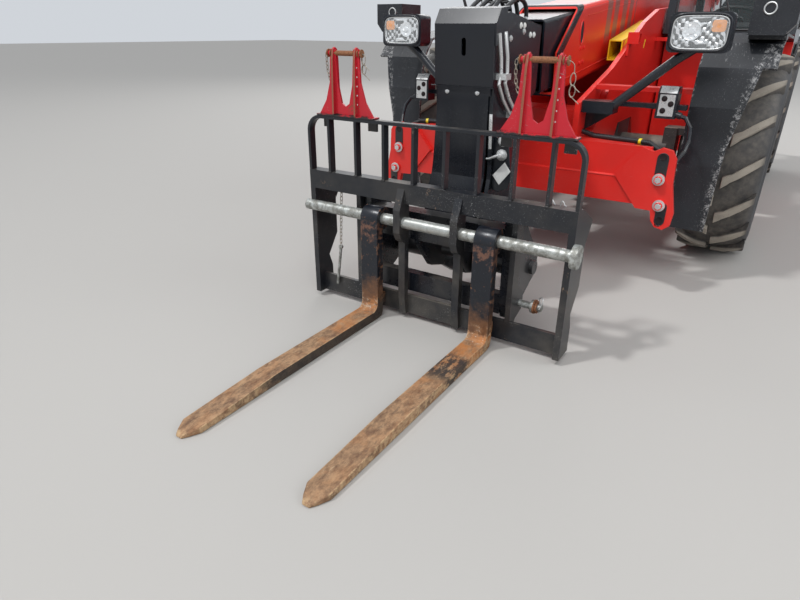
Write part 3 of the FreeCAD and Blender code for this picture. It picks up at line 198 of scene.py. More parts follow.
def square_pair(way):
    """Two directions square to each way and to each other: its cross products."""
    way = unit(way)
    aside = np.eye(3)[np.argmin(np.abs(way.reshape(-1, 3)).max(axis=0))]
    one = unit(np.cross(way, aside))
    return one, np.cross(way, one)


def around(count):
    """Angles of a full turn in equal steps."""
    return np.linspace(0, TURN, count, endpoint=False)


def bar(path, radius, sides=12, closed=False):
    """Round bar: path point + radius * (cos a * one + sin a * two), square to the path."""
    path = np.asarray(path, dtype=float)
    way = np.roll(path, -1, 0) - np.roll(path, 1, 0) if closed else np.gradient(path, axis=0)
    one, two = square_pair(way)
    angle = around(sides)[None, :, None]
    radius = np.broadcast_to(radius, len(path))[:, None, None]
    return path[:, None] + radius * (np.cos(angle) * one[:, None] + np.sin(angle) * two[:, None])


def turned(profile, centre, axis, sides=32):
    """Profile of (radius, height) turned about an axis: centre + h * axis + r * (cos, sin)."""
    profile = np.asarray(profile, dtype=float)
    centre = np.asarray(centre, dtype=float).reshape(-1, 3)
    axis = unit(axis)
    one, two = square_pair(axis)
    angle = around(sides)[None, :, None]
    ring = np.cos(angle) * one + np.sin(angle) * two
    local = profile[:, 1, None, None] * axis + profile[:, 0, None, None] * ring
    return local[None] + centre[:, None, None]


def slab(outline, axis, low, high):
    """Flat plate: an outline of two coordinates carried from low to high along X, Y or Z."""
    outline = np.asarray(outline, dtype=float)
    rest = [i for i in range(3) if i != "XYZ".index(axis)]
    grid = np.zeros((2, len(outline), 3))
    grid[:, :, rest] = outline
    grid[:, :, "XYZ".index(axis)] = np.array([[low], [high]])
    return grid


def rounded_block(centre, half, power=0.25, rows=12, columns=24):
    """Block with soft edges: a ball whose sines and cosines are raised to a small power."""
    u, v = np.linspace(-math.pi / 2, math.pi / 2, rows)[:, None], around(columns)[None, :]

    def soft(value):
        return np.sign(value) * np.abs(value) ** power

    x = soft(np.cos(u)) * soft(np.cos(v))
    y = soft(np.cos(u)) * soft(np.sin(v))
    z = soft(np.sin(u)) * np.ones_like(v)
    return np.stack([x, y, z], -1) * np.asarray(half) + np.asarray(centre)


print("four kinds of grid ready")

# %% [markdown]
# Most pieces are a wire or a turned part of one finish, so these two get a short form of
# their own. Paths and outlines are written as a few corners and rounded afterwards.

# %% Short forms for the commonest pieces
def wire(name, path, radius, look, body, sides=8, closed=False, **more):
    """Round wire, pipe or hose along a path, joined end to end when it is closed."""
    return surface(name, bar(path, radius, sides, closed), look, body, along=closed, **more)


def lathe(name, profile, centres, axis, look, body, sides=32, **more):
    """Profile turned about an axis, at one centre or at several."""
    return surface(name, turned(profile, centres, axis, sides), look, body, **more)


def bolts(name, centres, axis, size, look, body, slot="plated_steel"):
    """Hexagon heads as one piece and their washers as another, all sized by the head."""
    head = np.array([(1, 0), (1, 0.55), (0.82, 0.72), (0.01, 0.74)]) * size
    washer = np.array([(1.45, 0), (1.45, 0.16), (1.3, 0.22)]) * size
    lathe(name, head, centres, axis, look, body, 6, slot=slot)
    lathe(name + "_washer", washer, centres, axis, look, body, 24, slot=slot)


def soften(thing, width, angle=32):
    """A narrow bevel on the edges of a piece that are sharper than an angle in degrees."""
    edge = thing.modifiers.new("soft_edge", "BEVEL")
    edge.width = width
    edge.segments = 2
    edge.limit_method = "ANGLE"
    edge.angle_limit = math.radians(angle)


def eased(path, times=3):
    """Rounds a path: each run keeps its points at one and three quarters, several times."""
    path = np.asarray(path, dtype=float)
    for _ in range(times):
        near, far = 0.75 * path[:-1] + 0.25 * path[1:], 0.25 * path[:-1] + 0.75 * path[1:]
        cuts = np.stack([near, far], 1).reshape(-1, path.shape[1])
        path = np.vstack([path[:1], cuts[1:-1], path[-1:]])
    return path


def round_corners(points, radius=0.06):
    """Closed outline whose corners are replaced by parabolas that begin a radius before them."""
    points = np.asarray(points, float)
    before, after = np.roll(points, 1, 0), np.roll(points, -1, 0)
    t = np.linspace(0, 1, 7)[:, None, None]
    start = points + radius * unit(before - points)
    end = points + radius * unit(after - points)
    curve = (1 - t) ** 2 * start + 2 * t * (1 - t) * points + t ** 2 * end
    return curve.transpose(1, 0, 2).reshape(-1, points.shape[1])


def rectangle(low, high):
    """The four corners of a rectangle, from its lowest and highest corner."""
    return [low, (high[0], low[1]), high, (low[0], high[1])]


def measured(path):
    """A path's whole length, and a function from lengths along it to points."""
    run = np.concatenate([[0], np.cumsum(np.linalg.norm(np.diff(path, axis=0), axis=1))])
    return run[-1], lambda at: np.stack([np.interp(at, run, path[:, i]) for i in range(3)], 1)


print("short forms ready")

# %% [markdown]
# Every finish below is built from the same few ideas: noise at two scales, a smooth step
# that turns noise into patches, and a mix of two colours. Node trees are long to write, so
# a value that nodes work out is wrapped here and then takes part in ordinary sums. Noise
# reads Object coordinates, which on these pieces are the machine's own metres, so a
# scratch or a rust patch has its true size and stays put when a joint moves.

# %% A short way to write materials
class Value:
    """A node's output: + - * and abs() add nodes, and | keeps the larger of two values."""

    def __init__(self, finish, socket):
        self.finish, self.socket = finish, socket

    def __add__(self, other):
        return self.finish.math("ADD", self, other)

    def __sub__(self, other):
        return self.finish.math("SUBTRACT", self, other)

    def __rsub__(self, other):
        return self.finish.math("SUBTRACT", other, self)

    def __mul__(self, other):
        return self.finish.math("MULTIPLY", self, other)

    def __or__(self, other):
        return self.finish.math("MAXIMUM", self, other)

    def __abs__(self):
        return self.finish.math("ABSOLUTE", self)

    def rise(self, low, high, start=0.0):
        """Smooth step from 0 at low to 1 at high."""
        step = self.finish.node("ShaderNodeMapRange", Value=self, From_Min=low, From_Max=high, To_Min=start,
                                To_Max=1.0 - start)
        step.interpolation_type = "SMOOTHSTEP"
        return Value(self.finish, step.outputs[0])

    def fall(self, low, high):
        """Smooth step from 1 at low to 0 at high."""
        return self.rise(low, high, 1.0)


class Finish:
    """Node material: each method adds a node and returns its output as a value."""

    def __init__(self, name):
        self.material = bpy.data.materials.new(name)
        self.material.use_nodes = True
        self.tree = self.material.node_tree
        self.face = self.tree.nodes["Principled BSDF"]
        where = self.tree.nodes.new("ShaderNodeTexCoord").outputs
        self.place, self.facing = Value(self, where["Object"]), Value(self, where["Normal"])

    def join(self, socket, value):
        """Links a value to a socket, or sets the socket to a plain number or colour."""
        if isinstance(value, Value):
            self.tree.links.new(value.socket, socket)
        else:
            socket.default_value = (*value, 1.0) if socket.type == "RGBA" else value

    def node(self, kind, **sockets):
        """A node whose inputs are named by words, or by _ and a number."""
        new = self.tree.nodes.new(kind)
        for key, value in sockets.items():
            self.join(new.inputs[int(key[1:]) if key[0] == "_" else key.replace("_", " ")], value)
        return new

    def math(self, what, a, b=0.0):
        """One sum of two values."""
        made = self.node("ShaderNodeMath", _0=a, _1=b)
        made.operation = what
        return Value(self, made.outputs[0])

    def stretch(self, scale, offset=(0, 0, 0)):
        """Object coordinates scaled by an amount on each axis, then moved."""
        made = self.node("ShaderNodeMapping", Vector=self.place, Scale=scale, Location=offset)
        return Value(self, made.outputs[0])

    def noise(self, scale, detail=4.0, rough=0.55, vector=None, warp=0.0):
        """Noise from 0 to 1 whose patches are about 1/scale metres wide."""
        made = self.node("ShaderNodeTexNoise", Vector=vector or self.place, Scale=scale, Detail=detail,
                         Roughness=rough, Distortion=warp)
        return Value(self, made.outputs["Fac"])

    def lines(self, length, width, turn):
        """Thin lines: noise stretched along one turned direction, kept only at its peaks."""
        made = self.node("ShaderNodeMapping", Vector=self.place, Scale=(length, width, width), Rotation=turn)
        made.vector_type = "TEXTURE"
        return self.noise(1.0, 1.0, 0.5, Value(self, made.outputs[0])).rise(0.70, 0.76)

    def axis(self, which, vector=None):
        """One coordinate, X, Y or Z, in metres."""
        return Value(self, self.node("ShaderNodeSeparateXYZ", Vector=vector or self.place).outputs[which])

    def normal(self, which):
        """One part of the face's direction in the machine's frame."""
        return self.axis(which, self.facing)

    def blend(self, share, a, b):
        """Number a where share is 0 and b where it is 1."""
        return Value(self, self.node("ShaderNodeMix", _0=share, _2=a, _3=b).outputs[0])

    def layers(self, colour, *layers):
        """A colour with others laid over it in turn, each given as (share, colour)."""
        for share, over in layers:
            made = self.tree.nodes.new("ShaderNodeMix")
            made.data_type = "RGBA"
            for spot, value in ((0, share), (6, colour), (7, over)):
                self.join(made.inputs[spot], value)
            colour = Value(self, made.outputs[2])
        return colour

    def done(self, height=None, distance=0.0, strength=1.0, **sockets):
        """Sets the surface's own sockets, raises it by height times distance metres."""
        for key, value in sockets.items():
            self.join(self.face.inputs[key.replace("_", " ")], value)
        if height:
            made = self.node("ShaderNodeBump", Height=height, Distance=distance, Strength=strength)
            self.tree.links.new(made.outputs[0], self.face.inputs["Normal"])
        return self.material


def shaded(colour, times, plus=0.0):
    """A colour with each part multiplied and added to."""
    return tuple(part * times + plus for part in colour)


print("material helpers ready")

# %% [markdown]
# Machine paint is a thick gloss coat over steel. Working machines keep it fairly clean high
# up, but it dulls where dust settles on faces that look upwards, it carries fine pale
# scratches, and small chips show brown steel. Dust kills the gloss, so it changes colour
# and roughness together. `over` lets one piece add its own marks before the chips.

# %% Painted steel
DUST = (0.36, 0.31, 0.245)
SCRATCHED = (0.34, 0.34, 0.34)
STRIPES = ((3.311, 0.054), (3.147, 0.053), (2.938, 0.056), (2.765, 0.048), (2.635, 0.012))  # middle, half width
CHEEKS = (0.551, 0.423, -0.400, -0.528)     # y of the four cheeks of the pin brackets


def paint(name, colour, chips=0.68, dust=0.1, gloss=0.32, chip_colour=(0.12, 0.075, 0.05), seed=0.0,
          scratch=0.25, over=None):
    """Gloss paint with soft dust, thin scratches and chips, each from its own noise."""
    f = Finish(name)
    away = f.stretch((1, 1, 1), (seed, seed * 2, seed * 3))
    body = f.layers(colour, (f.noise(2.2, 3, 0.5, away).rise(0.3, 0.75), shaded(colour, 0.84, 0.002)))
    if over:
        body = over(f, body)
    lying, low = f.normal(2).rise(0.3, 0.95), f.axis(2).fall(0.25, 1.0)
    grime = f.noise(5, 6, 0.6, away).rise(0.35, 0.8) * (lying * (dust * 1.6) + low * dust)
    lines = f.lines(0.16, 0.0045, (0.3, 0.5, seed)) | f.lines(0.10, 0.004, (1.1, 0.2, 0.7 + seed))
    lines = lines * f.noise(3.5, 3, 0.5, away).rise(0.45, 0.7) * (scratch * 2)
    fine = f.noise(95, 6, 0.7, away) * 0.55 + f.noise(9, 3, 0.6, away) * 0.45
    chip = fine.rise(chips, chips + 0.02)
    return f.done(f.noise(22, 2) * 0.35 - chip, 0.0005, 0.45, Roughness=f.blend(grime | chip, gloss, 0.85),
                  Base_Color=f.layers(body, (grime, DUST), (lines, SCRATCHED), (chip, chip_colour)))


def boom_stripes(f, colour):
    """Faded grey-brown stripes across the boom's side, placed along and above its middle line."""
    ahead, above = f.axis(0) - BOOM_PIVOT[0], f.axis(2) - BOOM_PIVOT[1]
    c, s = math.cos(BOOM_TILT), math.sin(BOOM_TILT)
    height = ahead * s + above * c
    leaned = ahead * c - above * s + height * 0.12
    share = 0.0
    for middle, half in STRIPES:
        share = abs(leaned - middle).fall(half - 0.003, half + 0.003) | share
    fade = height + f.noise(60, 2, 0.5, f.stretch((0.2, 1, 3))) * 0.10
    return f.layers(colour, (share * fade.rise(-0.02, 0.06) * 0.82, (0.17, 0.105, 0.085)))


def bracket_marks(f, colour):
    """Rust on the front edges of the four cheeks, and a dark base."""
    off = 1.0
    for y in CHEEKS:
        off = f.math("MINIMUM", abs(f.axis(1) - y), off)
    edge = off.fall(0.0048, 0.0058) * f.normal(0).rise(0.5, 0.8)
    dark = (f.axis(2) + (f.noise(28, 6, 0.7) - 0.5) * 0.05).fall(0.988, 0.996)
    return f.layers(colour, (edge * 0.85, (0.22, 0.10, 0.055)), (dark, (0.020, 0.019, 0.020)))


RED = paint("red_gloss", (0.76, 0.020, 0.014), 0.70, 0.07, seed=1.0, scratch=0.12)
BOOM_RED = paint("boom_red", (0.76, 0.028, 0.014), 0.71, 0.06, seed=4.0, scratch=0.2, over=boom_stripes)
BLACK = paint("black_gloss", (0.0085, 0.0108, 0.0165), 0.685, 0.10, 0.26, seed=3.0, scratch=0.22)
SCUFFED = paint("guard_black", (0.0088, 0.0108, 0.0155), 0.622, 0.18, 0.34, (0.17, 0.12, 0.085), 9.0, 0.65)
BRACKET_RED = paint("bracket_paint", (0.52, 0.013, 0.026), 0.61, 0.05, chip_colour=(0.17, 0.07, 0.035),
                    seed=7.0, scratch=0.5, over=bracket_marks)
YELLOW = paint("prop_yellow", (0.86, 0.56, 0.012), 0.69, 0.05, seed=11.0, scratch=0.1)
DARK_GREY = paint("frame_grey", (0.030, 0.031, 0.034), 0.68, 0.5, 0.5, seed=5.0)
IRON = paint("engine_iron", (0.05, 0.05, 0.05), 0.66, 0.5, 0.6, seed=2.0)
print("paints ready")

# %% [markdown]
# A fork leaves the works painted black. Loads soon rub the blade down to brown scale, water
# rusts the heel orange, and the paint lasts only on the shank. So the finish follows the
# place: height above the ground says paint or rust, distance ahead fades the orange, and
# distance from the fork's middle line wears its edges.

# %% Forks and plated steel
def fork_steel(name, middle, smeared):
    """Black shank, orange heel and brown blade, with ragged borders from noise.

    A smeared blade has a dark patch on top near the heel; the other is darker on its sides towards the heel.
    """
    f = Finish(name)
    ahead, aside = f.axis(0) - CARRIAGE, abs(f.axis(1) - middle)
    ragged = (f.noise(16, 7, 0.7) - 0.5) * 0.30
    height = f.axis(2) + ragged
    grain = f.noise(30, 8, 0.74, f.stretch((0.6, 1.0, 1.0))).rise(0.32, 0.68)
    streak = f.noise(34, 7, 0.7, f.stretch((0.35, 1.0, 1.0), (3, 0, 0))).rise(0.52, 0.68)
    pale = f.noise(48, 6, 0.7, f.stretch((0.35, 1.0, 1.0), (7, 0, 0))).rise(0.58, 0.72)
    orange = f.noise(9, 6, 0.7, warp=0.6).rise(0.40, 0.64) * f.blend(ahead.fall(0.0, 0.75), 0.16, 0.85)
    scuff = f.noise(70, 6, 0.75).rise(0.55, 0.62) * ahead.fall(0.02, 0.14)
    worn = (aside.rise(0.043, 0.049) | ahead.rise(1.225, 1.25)) * f.noise(40, 5, 0.7).rise(0.42, 0.6)
    if smeared:
        patch = f.noise(30, 6, 0.7, f.stretch((0.5, 1, 1))).rise(0.42, 0.52)
        darkened = ahead.rise(0.20, 0.27) * ahead.fall(0.40, 0.50) * patch
    else:
        darkened = abs(f.normal(1)).rise(0.6, 0.9) * (ahead + ragged * 2.0).fall(0.75, 1.05)
    rusted = f.layers((0.125, 0.068, 0.040), (grain, (0.40, 0.245, 0.135)), (streak * 0.6, (0.085, 0.050, 0.034)),
                      (pale * 0.5, (0.50, 0.38, 0.24)), (orange, (0.46, 0.17, 0.045)),
                      (scuff * 0.8, (0.62, 0.56, 0.47)), (worn * 0.7, (0.55, 0.38, 0.21)),
                      (darkened * 0.9, (0.017, 0.016, 0.017)))
    chip = (f.noise(34, 7, 0.72) + aside.rise(0.038, 0.05) * 0.09).rise(0.625, 0.65)
    collar = height.rise(0.42, 0.45) * height.fall(0.485, 0.51) * f.noise(26, 6, 0.7).rise(0.46, 0.58)
    shank = f.layers((0.0095, 0.0120, 0.018), (height.fall(0.12, 0.24) * 0.8, (0.19, 0.088, 0.040)),
                     (collar * 0.8, (0.20, 0.095, 0.062)),
                     (f.lines(0.06, 0.004, (2.0, 0.0, 0.4)) * 0.5, (0.15, 0.15, 0.16)),
                     (chip, (0.17, 0.085, 0.05)))
    painted = height.rise(0.085, 0.125)
    return f.done(f.noise(140, 5, 0.6) - chip * 0.8, 0.0006, 0.6, Base_Color=f.layers(rusted, (painted, shank)),
                  Metallic=0.1, Roughness=f.blend(painted * (1.0 - chip), 0.82, 0.30))


def plated_steel(name, colour, rough, blotches):
    """Zinc plate: pale grey-green, duller and darker away from the machine's middle."""
    f = Finish(name)
    handled = abs(f.axis(1)).rise(0.10, 0.17)
    blotch = f.noise(30, 7, 0.7).rise(0.36, 0.60) * f.blend(handled, 0.45, 1.0)
    shade = f.layers(colour, (blotch * blotches, (0.175, 0.170, 0.150)),
                     (f.lines(0.05, 0.002, (0, 0, 0.3)), (0.74, 0.74, 0.72)))
    return f.done(f.noise(220, 3), 0.0003, 0.4, Base_Color=shade, Metallic=0.6,
                  Roughness=f.blend(blotch, rough, rough + 0.25))


FORK_LEFT = fork_steel("fork_left_steel", 0.325, True)
FORK_RIGHT = fork_steel("fork_right_steel", -0.290, False)
ZINC = plated_steel("zinc_plate", (0.50, 0.52, 0.50), 0.34, 0.85)
STEEL = plated_steel("bright_steel", (0.64, 0.65, 0.65), 0.22, 0.15)
print("steels ready")

# %% [markdown]
# Tyre rubber is nearly black, but the lugs of a working tyre are rubbed pale by dry soil.
# The dust sits on what touches the ground, so it follows the distance from the wheel's own
# axle: blue-black walls, dusty hollows and sand-grey lug faces with dark pits.

# %% Rubber, plastic and glass
def rubber(name, axle_x):
    """Black rubber whose dust grows with the distance from the axle at axle_x."""
    f = Finish(name)
    dx, dz = f.axis(0) - axle_x, f.axis(2) - AXLE_HEIGHT
    away = f.math("SQRT", dx * dx + dz * dz)
    pits = f.noise(150, 5, 0.7).fall(0.60, 0.68)
    patches = f.blend(f.noise(14, 5, 0.6).rise(0.3, 0.7), 0.75, 1.0)
    face = away.rise(0.597, 0.608) * f.blend(pits, 0.35, 0.95) * patches
    tread = away.rise(0.50, 0.59) * f.blend(f.noise(24, 6, 0.65).rise(0.3, 0.75), 0.15, 0.55)
    shade = f.layers((0.016, 0.018, 0.023), (f.noise(11, 5, 0.6).rise(0.35, 0.8), (0.045, 0.044, 0.046)),
                     (tread, (0.20, 0.175, 0.145)), (face, (0.42, 0.375, 0.315)))
    return f.done(f.noise(160, 4, 0.6), 0.0010, 0.6, Base_Color=shade, Roughness=f.blend(face, 0.6, 0.95))


def guard_edge(f):
    """1 near the outer edge of a mudguard, whose half width follows the height, and 0 inside.

    In front the half width is 1.038 + 0.108 * (height - 0.30) to the power 2.2, and more
    from 1.31 up; behind it is the same all over. Above 1.347 nothing is worn.
    """
    x, y, z = f.axis(0), abs(f.axis(1)), f.axis(2)
    flap = f.math("POWER", (z - 0.30) | 0.0, 2.2) * 0.108 + 1.038 + f.math("GREATER_THAN", z, 1.31) * 0.046
    front = f.math("GREATER_THAN", x, -1.0)
    edge = front * flap + (1.0 - front) * 1.224
    worn = (y - edge).rise(-0.05, -0.004) | y.fall(0.842, 0.862)
    return worn * f.math("LESS_THAN", z, 1.347)


def plastic(name, colour, scuff, rough=0.5, edges=None):
    """Moulded black plastic with thin scratches, and frayed pale scuffs along its edges."""
    f = Finish(name)
    rubbed = f.noise(2.6, 3, 0.5).rise(0.50, 0.68)
    share = edges(f) if edges else rubbed
    frayed = (f.noise(42, 9, 0.85, warp=0.4) + share * 0.09).rise(0.60, 0.65) * share
    thin = f.lines(0.10, 0.0035, (0.2, 0.9, 0.1)) | f.lines(0.07, 0.003, (1.3, 0.1, 0.6))
    marks = frayed | thin * f.blend(rubbed, 0.25, 0.9)
    shade = f.layers(colour, (f.noise(5).rise(0.3, 0.7), shaded(colour, 1.5, 0.003)),
                     (marks * scuff, (0.36, 0.36, 0.36)))
    return f.done(f.noise(300, 3), 0.0003, 0.5, Base_Color=shade, Roughness=f.blend(marks, rough, 0.85))


def glass(name, tint, alpha, rough):
    """Thin clear pane: mostly see-through, faintly tinted, with a sharp reflection."""
    f = Finish(name)
    f.material.surface_render_method = "BLENDED"
    haze = f.noise(3).rise(0.4, 0.8)
    return f.done(Base_Color=f.layers(tint, (haze, shaded(tint, 0.9))), Roughness=rough, Alpha=alpha)


def plain(name, colour, rough=0.5, metal=0.0, mottle=0.15, grain=60.0):
    """Small parts: one colour with soft mottling and a fine grain."""
    f = Finish(name)
    shade = f.layers(colour, (f.noise(grain, 4, 0.6).rise(0.3, 0.75), shaded(colour, 1 - mottle * 2)))
    return f.done(f.noise(grain * 6, 3), 0.0002, 0.4, Base_Color=shade, Metallic=metal, Roughness=rough)


TYRE_FRONT = rubber("tyre_rubber_front", FRONT_AXLE)
TYRE_REAR = rubber("tyre_rubber_rear", REAR_AXLE)
PLASTIC = plastic("guard_plastic", (0.0080, 0.0095, 0.0130), 0.9, 0.45, guard_edge)
TRIM = plastic("trim_plastic", (0.016, 0.016, 0.018), 0.12)
HOSE = plastic("hose_rubber", (0.010, 0.0105, 0.012), 0.15, 0.42)
CLOTH = plastic("seat_cloth", (0.030, 0.030, 0.034), 0.0, 0.95)
GLASS = glass("window_glass", (0.10, 0.13, 0.13), 0.15, 0.03)
LENS = glass("lamp_lens", (0.92, 0.95, 0.96), 0.14, 0.02)
# The reflectors are silver, but their base is near white at only half metal: part of their brightness is a painted
# reflection.
MIRROR = plain("lamp_reflector_painted_bright", (0.90, 0.92, 0.94), 0.22, 0.55, 0.03)
AMBER = plain("amber_lens", (0.86, 0.33, 0.05), 0.18, 0.0, 0.12)
ORANGE = plain("orange_lens", (0.85, 0.24, 0.03), 0.2, 0.0, 0.1)
MIRROR_GLASS = plain("mirror_glass", (0.75, 0.77, 0.79), 0.05, 1.0, 0.02)
LENS_RED = plain("red_lens", (0.55, 0.012, 0.012), 0.18, 0.0, 0.1)
CHAIN = plain("chain_steel", (0.42, 0.37, 0.30), 0.45, 0.7, 0.25, 220.0)
RUSTY = plain("rusty_steel", (0.30, 0.125, 0.055), 0.85, 0.0, 0.3, 160.0)
PLATE_WHITE = plain("blank_plate", (0.78, 0.78, 0.76), 0.4, 0.0, 0.06)
LABEL_YELLOW = plain("yellow_tag", (0.85, 0.66, 0.02), 0.4, 0.0, 0.08)
# Near black: painted shade in the boom's hand holes, in the strap sockets and behind the louvres, and also the real
# black of the valve plugs and the dash panel.
PAINTED_SHADE_AND_BLACK = plain("painted_shade_and_black", (0.012, 0.005, 0.006), 0.9)

# %% [markdown]
# Plates cut by a machine still have a small softened edge, which catches the light. The
# engineering nodes have knife edges, so each gets a weld, and those with edges in sight
# also a flattening of spare triangles and a narrow bevel. All three are modifiers: the
# mesh itself is never touched. What isn't named here is painted red.

# %% Finish for the engineering nodes
LOOKS = {name: look for look, names in (
    (DARK_GREY, "axle knuckle"), (IRON, "engine_block"), (TRIM, "fuel_tank console rear_lamps mirror"),
    (GLASS, "cab_glass cab_door_glass"), (CLOTH, "seat"), (PLASTIC, "mudguard"), (YELLOW, "boom_prop"),
    (BLACK, "headlamp valve_block boom_inner boom_mid boom_collar head_cover tilt_barrel lift_barrel coupler"),
    (BLACK, "cab_frame cab_door"), (BOOM_RED, "boom_outer"), (STEEL, "boom_pipes tilt_rod lift_rod"),
    (ZINC, "locking_pin fork_shaft"), (SCUFFED, "fork_frame load_guard"), (BRACKET_RED, "pin_bracket"),
    (FORK_LEFT, "fork_left"), (FORK_RIGHT, "fork_right"), (TYRE_FRONT, "tyre_front"), (TYRE_REAR, "tyre_rear"),
) for name in names.split()}
EDGES = {name: width for width, names in (
    (0.002, "load_guard pin_bracket headlamp boom_prop"),
    (0.003, "chassis_frame front_crossbeam fork_frame coupler boom_inner head_cover valve_block"),
    (0.004, "engine_side mudguard_front mudguard_rear fork rear_lamps"), (0.006, "cab_frame cab_door mirror"),
    (0.010, "engine_block fuel_tank"), (0.012, "cab_tub console"), (0.020, "cab_roof engine_hood"),
    (0.030, "counterweight seat"),
) for name in names.split()}
for node, thing in NODES.items():
    found = [key for key in LOOKS if node.startswith(key)]
    look = LOOKS[max(found, key=len)] if found else RED
    if not thing.material_slots:
        thing.data.materials.append(look)
    for holder in thing.material_slots:
        holder.material = look
    thing.modifiers.new("weld", "WELD").merge_threshold = 0.0002
    width = EDGES.get(node.removesuffix("_left").removesuffix("_right"))
    if width:
        planar = thing.modifiers.new("flatten", "DECIMATE")
        planar.decimate_type = "DISSOLVE"
        planar.angle_limit = math.radians(1.0)
        soften(thing, width, 38)
print(len(NODES), "nodes painted")

# %% [markdown]
# ## Tyres
# A farm-type tyre has a round casing with tall slanting lugs whose inner ends meet in the
# middle as a row of blocks. The engineering tyre is faceted to keep it light. Here the
# casing is a profile turned round the axle with many more steps, and each lug is a bar
# whose section is carried from the middle of the tread to the shoulder. All lugs of one
# side are the same grid, turned, so they are one array.

# %% Tyre casing and lugs
TYRE_TOP = 0.6257                       # lug tips, just inside the engineering tyre
HALF_TREAD = 0.21
LUGS = 16
WHEEL_NUTS, NUT_CIRCLE = 10, 0.175
CASING = eased([(0.306, 0.150), (0.318, 0.160), (0.345, 0.170), (0.420, 0.205), (0.470, 0.209),
                (0.520, 0.204), (0.566, 0.178), (0.588, 0.120), (0.593, 0.0)])


def casing(centre):
    """Half profile, its mirror image, and fine rings where the wall is moulded."""
    radius, out = CASING.T
    ring = 0.0018 * np.exp(-((radius - 0.375) / 0.004) ** 2) + 0.0014 * np.exp(-((radius - 0.500) / 0.004) ** 2)
    half = np.stack([radius, out + ring], 1)
    whole = np.vstack([half, (half * np.array([1, -1]))[::-1]])
    return turned(whole, centre, (0, 1, 0), 96)


def lug_set(centre, hand):
    """Lugs of one side: width, height and lean are functions of the way t across the tread."""
    t = np.array([0.0, 0.02, 0.16, 0.24, 0.45, 0.7, 0.9, 0.985, 1.0])[:, None]
    across = (0.012 + t * (HALF_TREAD - 0.022)) * hand
    lean = -0.245 * t ** 1.1
    wide = 0.028 - 0.006 * np.exp(-((t - 0.27) / 0.08) ** 2) - 0.004 * t + 0.004 * np.exp(-(t / 0.12) ** 2)
    top = TYRE_TOP - 0.0015 - 0.024 * t ** 3
    column = np.array([-1.22, -1.05, -0.88, 0.88, 1.05, 1.22])[None, :]
    drop = np.array([0.06, 0.006, 0.0, 0.0, 0.006, 0.06])[None, :] * np.ones_like(t)
    drop[[0, -1]] += np.array([0.0, 0.004, 0.004, 0.004, 0.004, 0.0])
    start = np.arange(LUGS)[:, None, None] * TURN / LUGS + (0.25 if hand > 0 else 0.75) * TURN / LUGS
    radius = (top - drop)[None]
    angle = start + lean[None] + (wide * column)[None] / TYRE_TOP
    across = np.broadcast_to(across[None], angle.shape)
    return np.stack([radius * np.sin(angle), across, radius * np.cos(angle)], -1) + centre


for end, look in (("front", TYRE_FRONT), ("rear", TYRE_REAR)):
    for side_name, hand in SIDES:
        corner = "_%s_%s" % (end, side_name)
        centre, wheel = np.mean(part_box("rim" + corner), axis=0), "wheel" + corner
        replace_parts(surface("tyre_casing" + corner, casing(centre), look, wheel, along=True), "tyre" + corner)
        for way_name, way in (("_out", 1), ("_in", -1)):
            surface("tyre_lugs" + corner + way_name, lug_set(centre, way), look, wheel, crease=28)
        a = around(WHEEL_NUTS)
        nuts = centre + np.stack([NUT_CIRCLE * np.cos(a), np.full(WHEEL_NUTS, hand * 0.001), NUT_CIRCLE * np.sin(a)], 1)
        bolts("wheel_nuts" + corner, nuts, (0, hand, 0), 0.016, STEEL, wheel)
        lathe("hub_cap" + corner, [(0.105, 0.060), (0.105, 0.078), (0.090, 0.090), (0.045, 0.094), (0.001, 0.094)],
              centre, (0, hand, 0), DARK_GREY, wheel, 40)
print("tyres with", 2 * LUGS, "lugs each")

# %% [markdown]
# ## Headlamps
# Each headlamp is a black moulded shade with a thin silver rim, a clear outer lens and, behind it, a reflector pressed
# into small facets, whose near-white base at half metal paints in part of its bright reflection. The lens outline is a
# rectangle
# with very round corners, which a superellipse gives: |u|^n + |v|^n = 1 with n about 5.
# The reflector is a flat face over the same outline, dented by sines in two directions.

# %% Headlamp faces
LENS_POINTS = 64


def lens_rings(low, high, rings):
    """Rings of a superellipse in y and z, from its edge to its middle, and each one's size."""
    size = np.linspace(1.0, 0.02, rings)[:, None, None]
    return lens_edge() * (np.asarray(high) - low) / 2 * size + (np.asarray(high) + low) / 2, size


def lens_edge(power=0.42):
    """Superellipse: sine and cosine raised to a power below one."""
    c, s = np.cos(around(LENS_POINTS)), np.sin(around(LENS_POINTS))
    return np.stack([np.sign(c) * np.abs(c) ** power, np.sign(s) * np.abs(s) ** power], 1)


def standing(x, flat):
    """Points of y and z stood up at x, which may differ from point to point."""
    return np.concatenate([np.broadcast_to(x, flat[..., :1].shape), flat], -1)


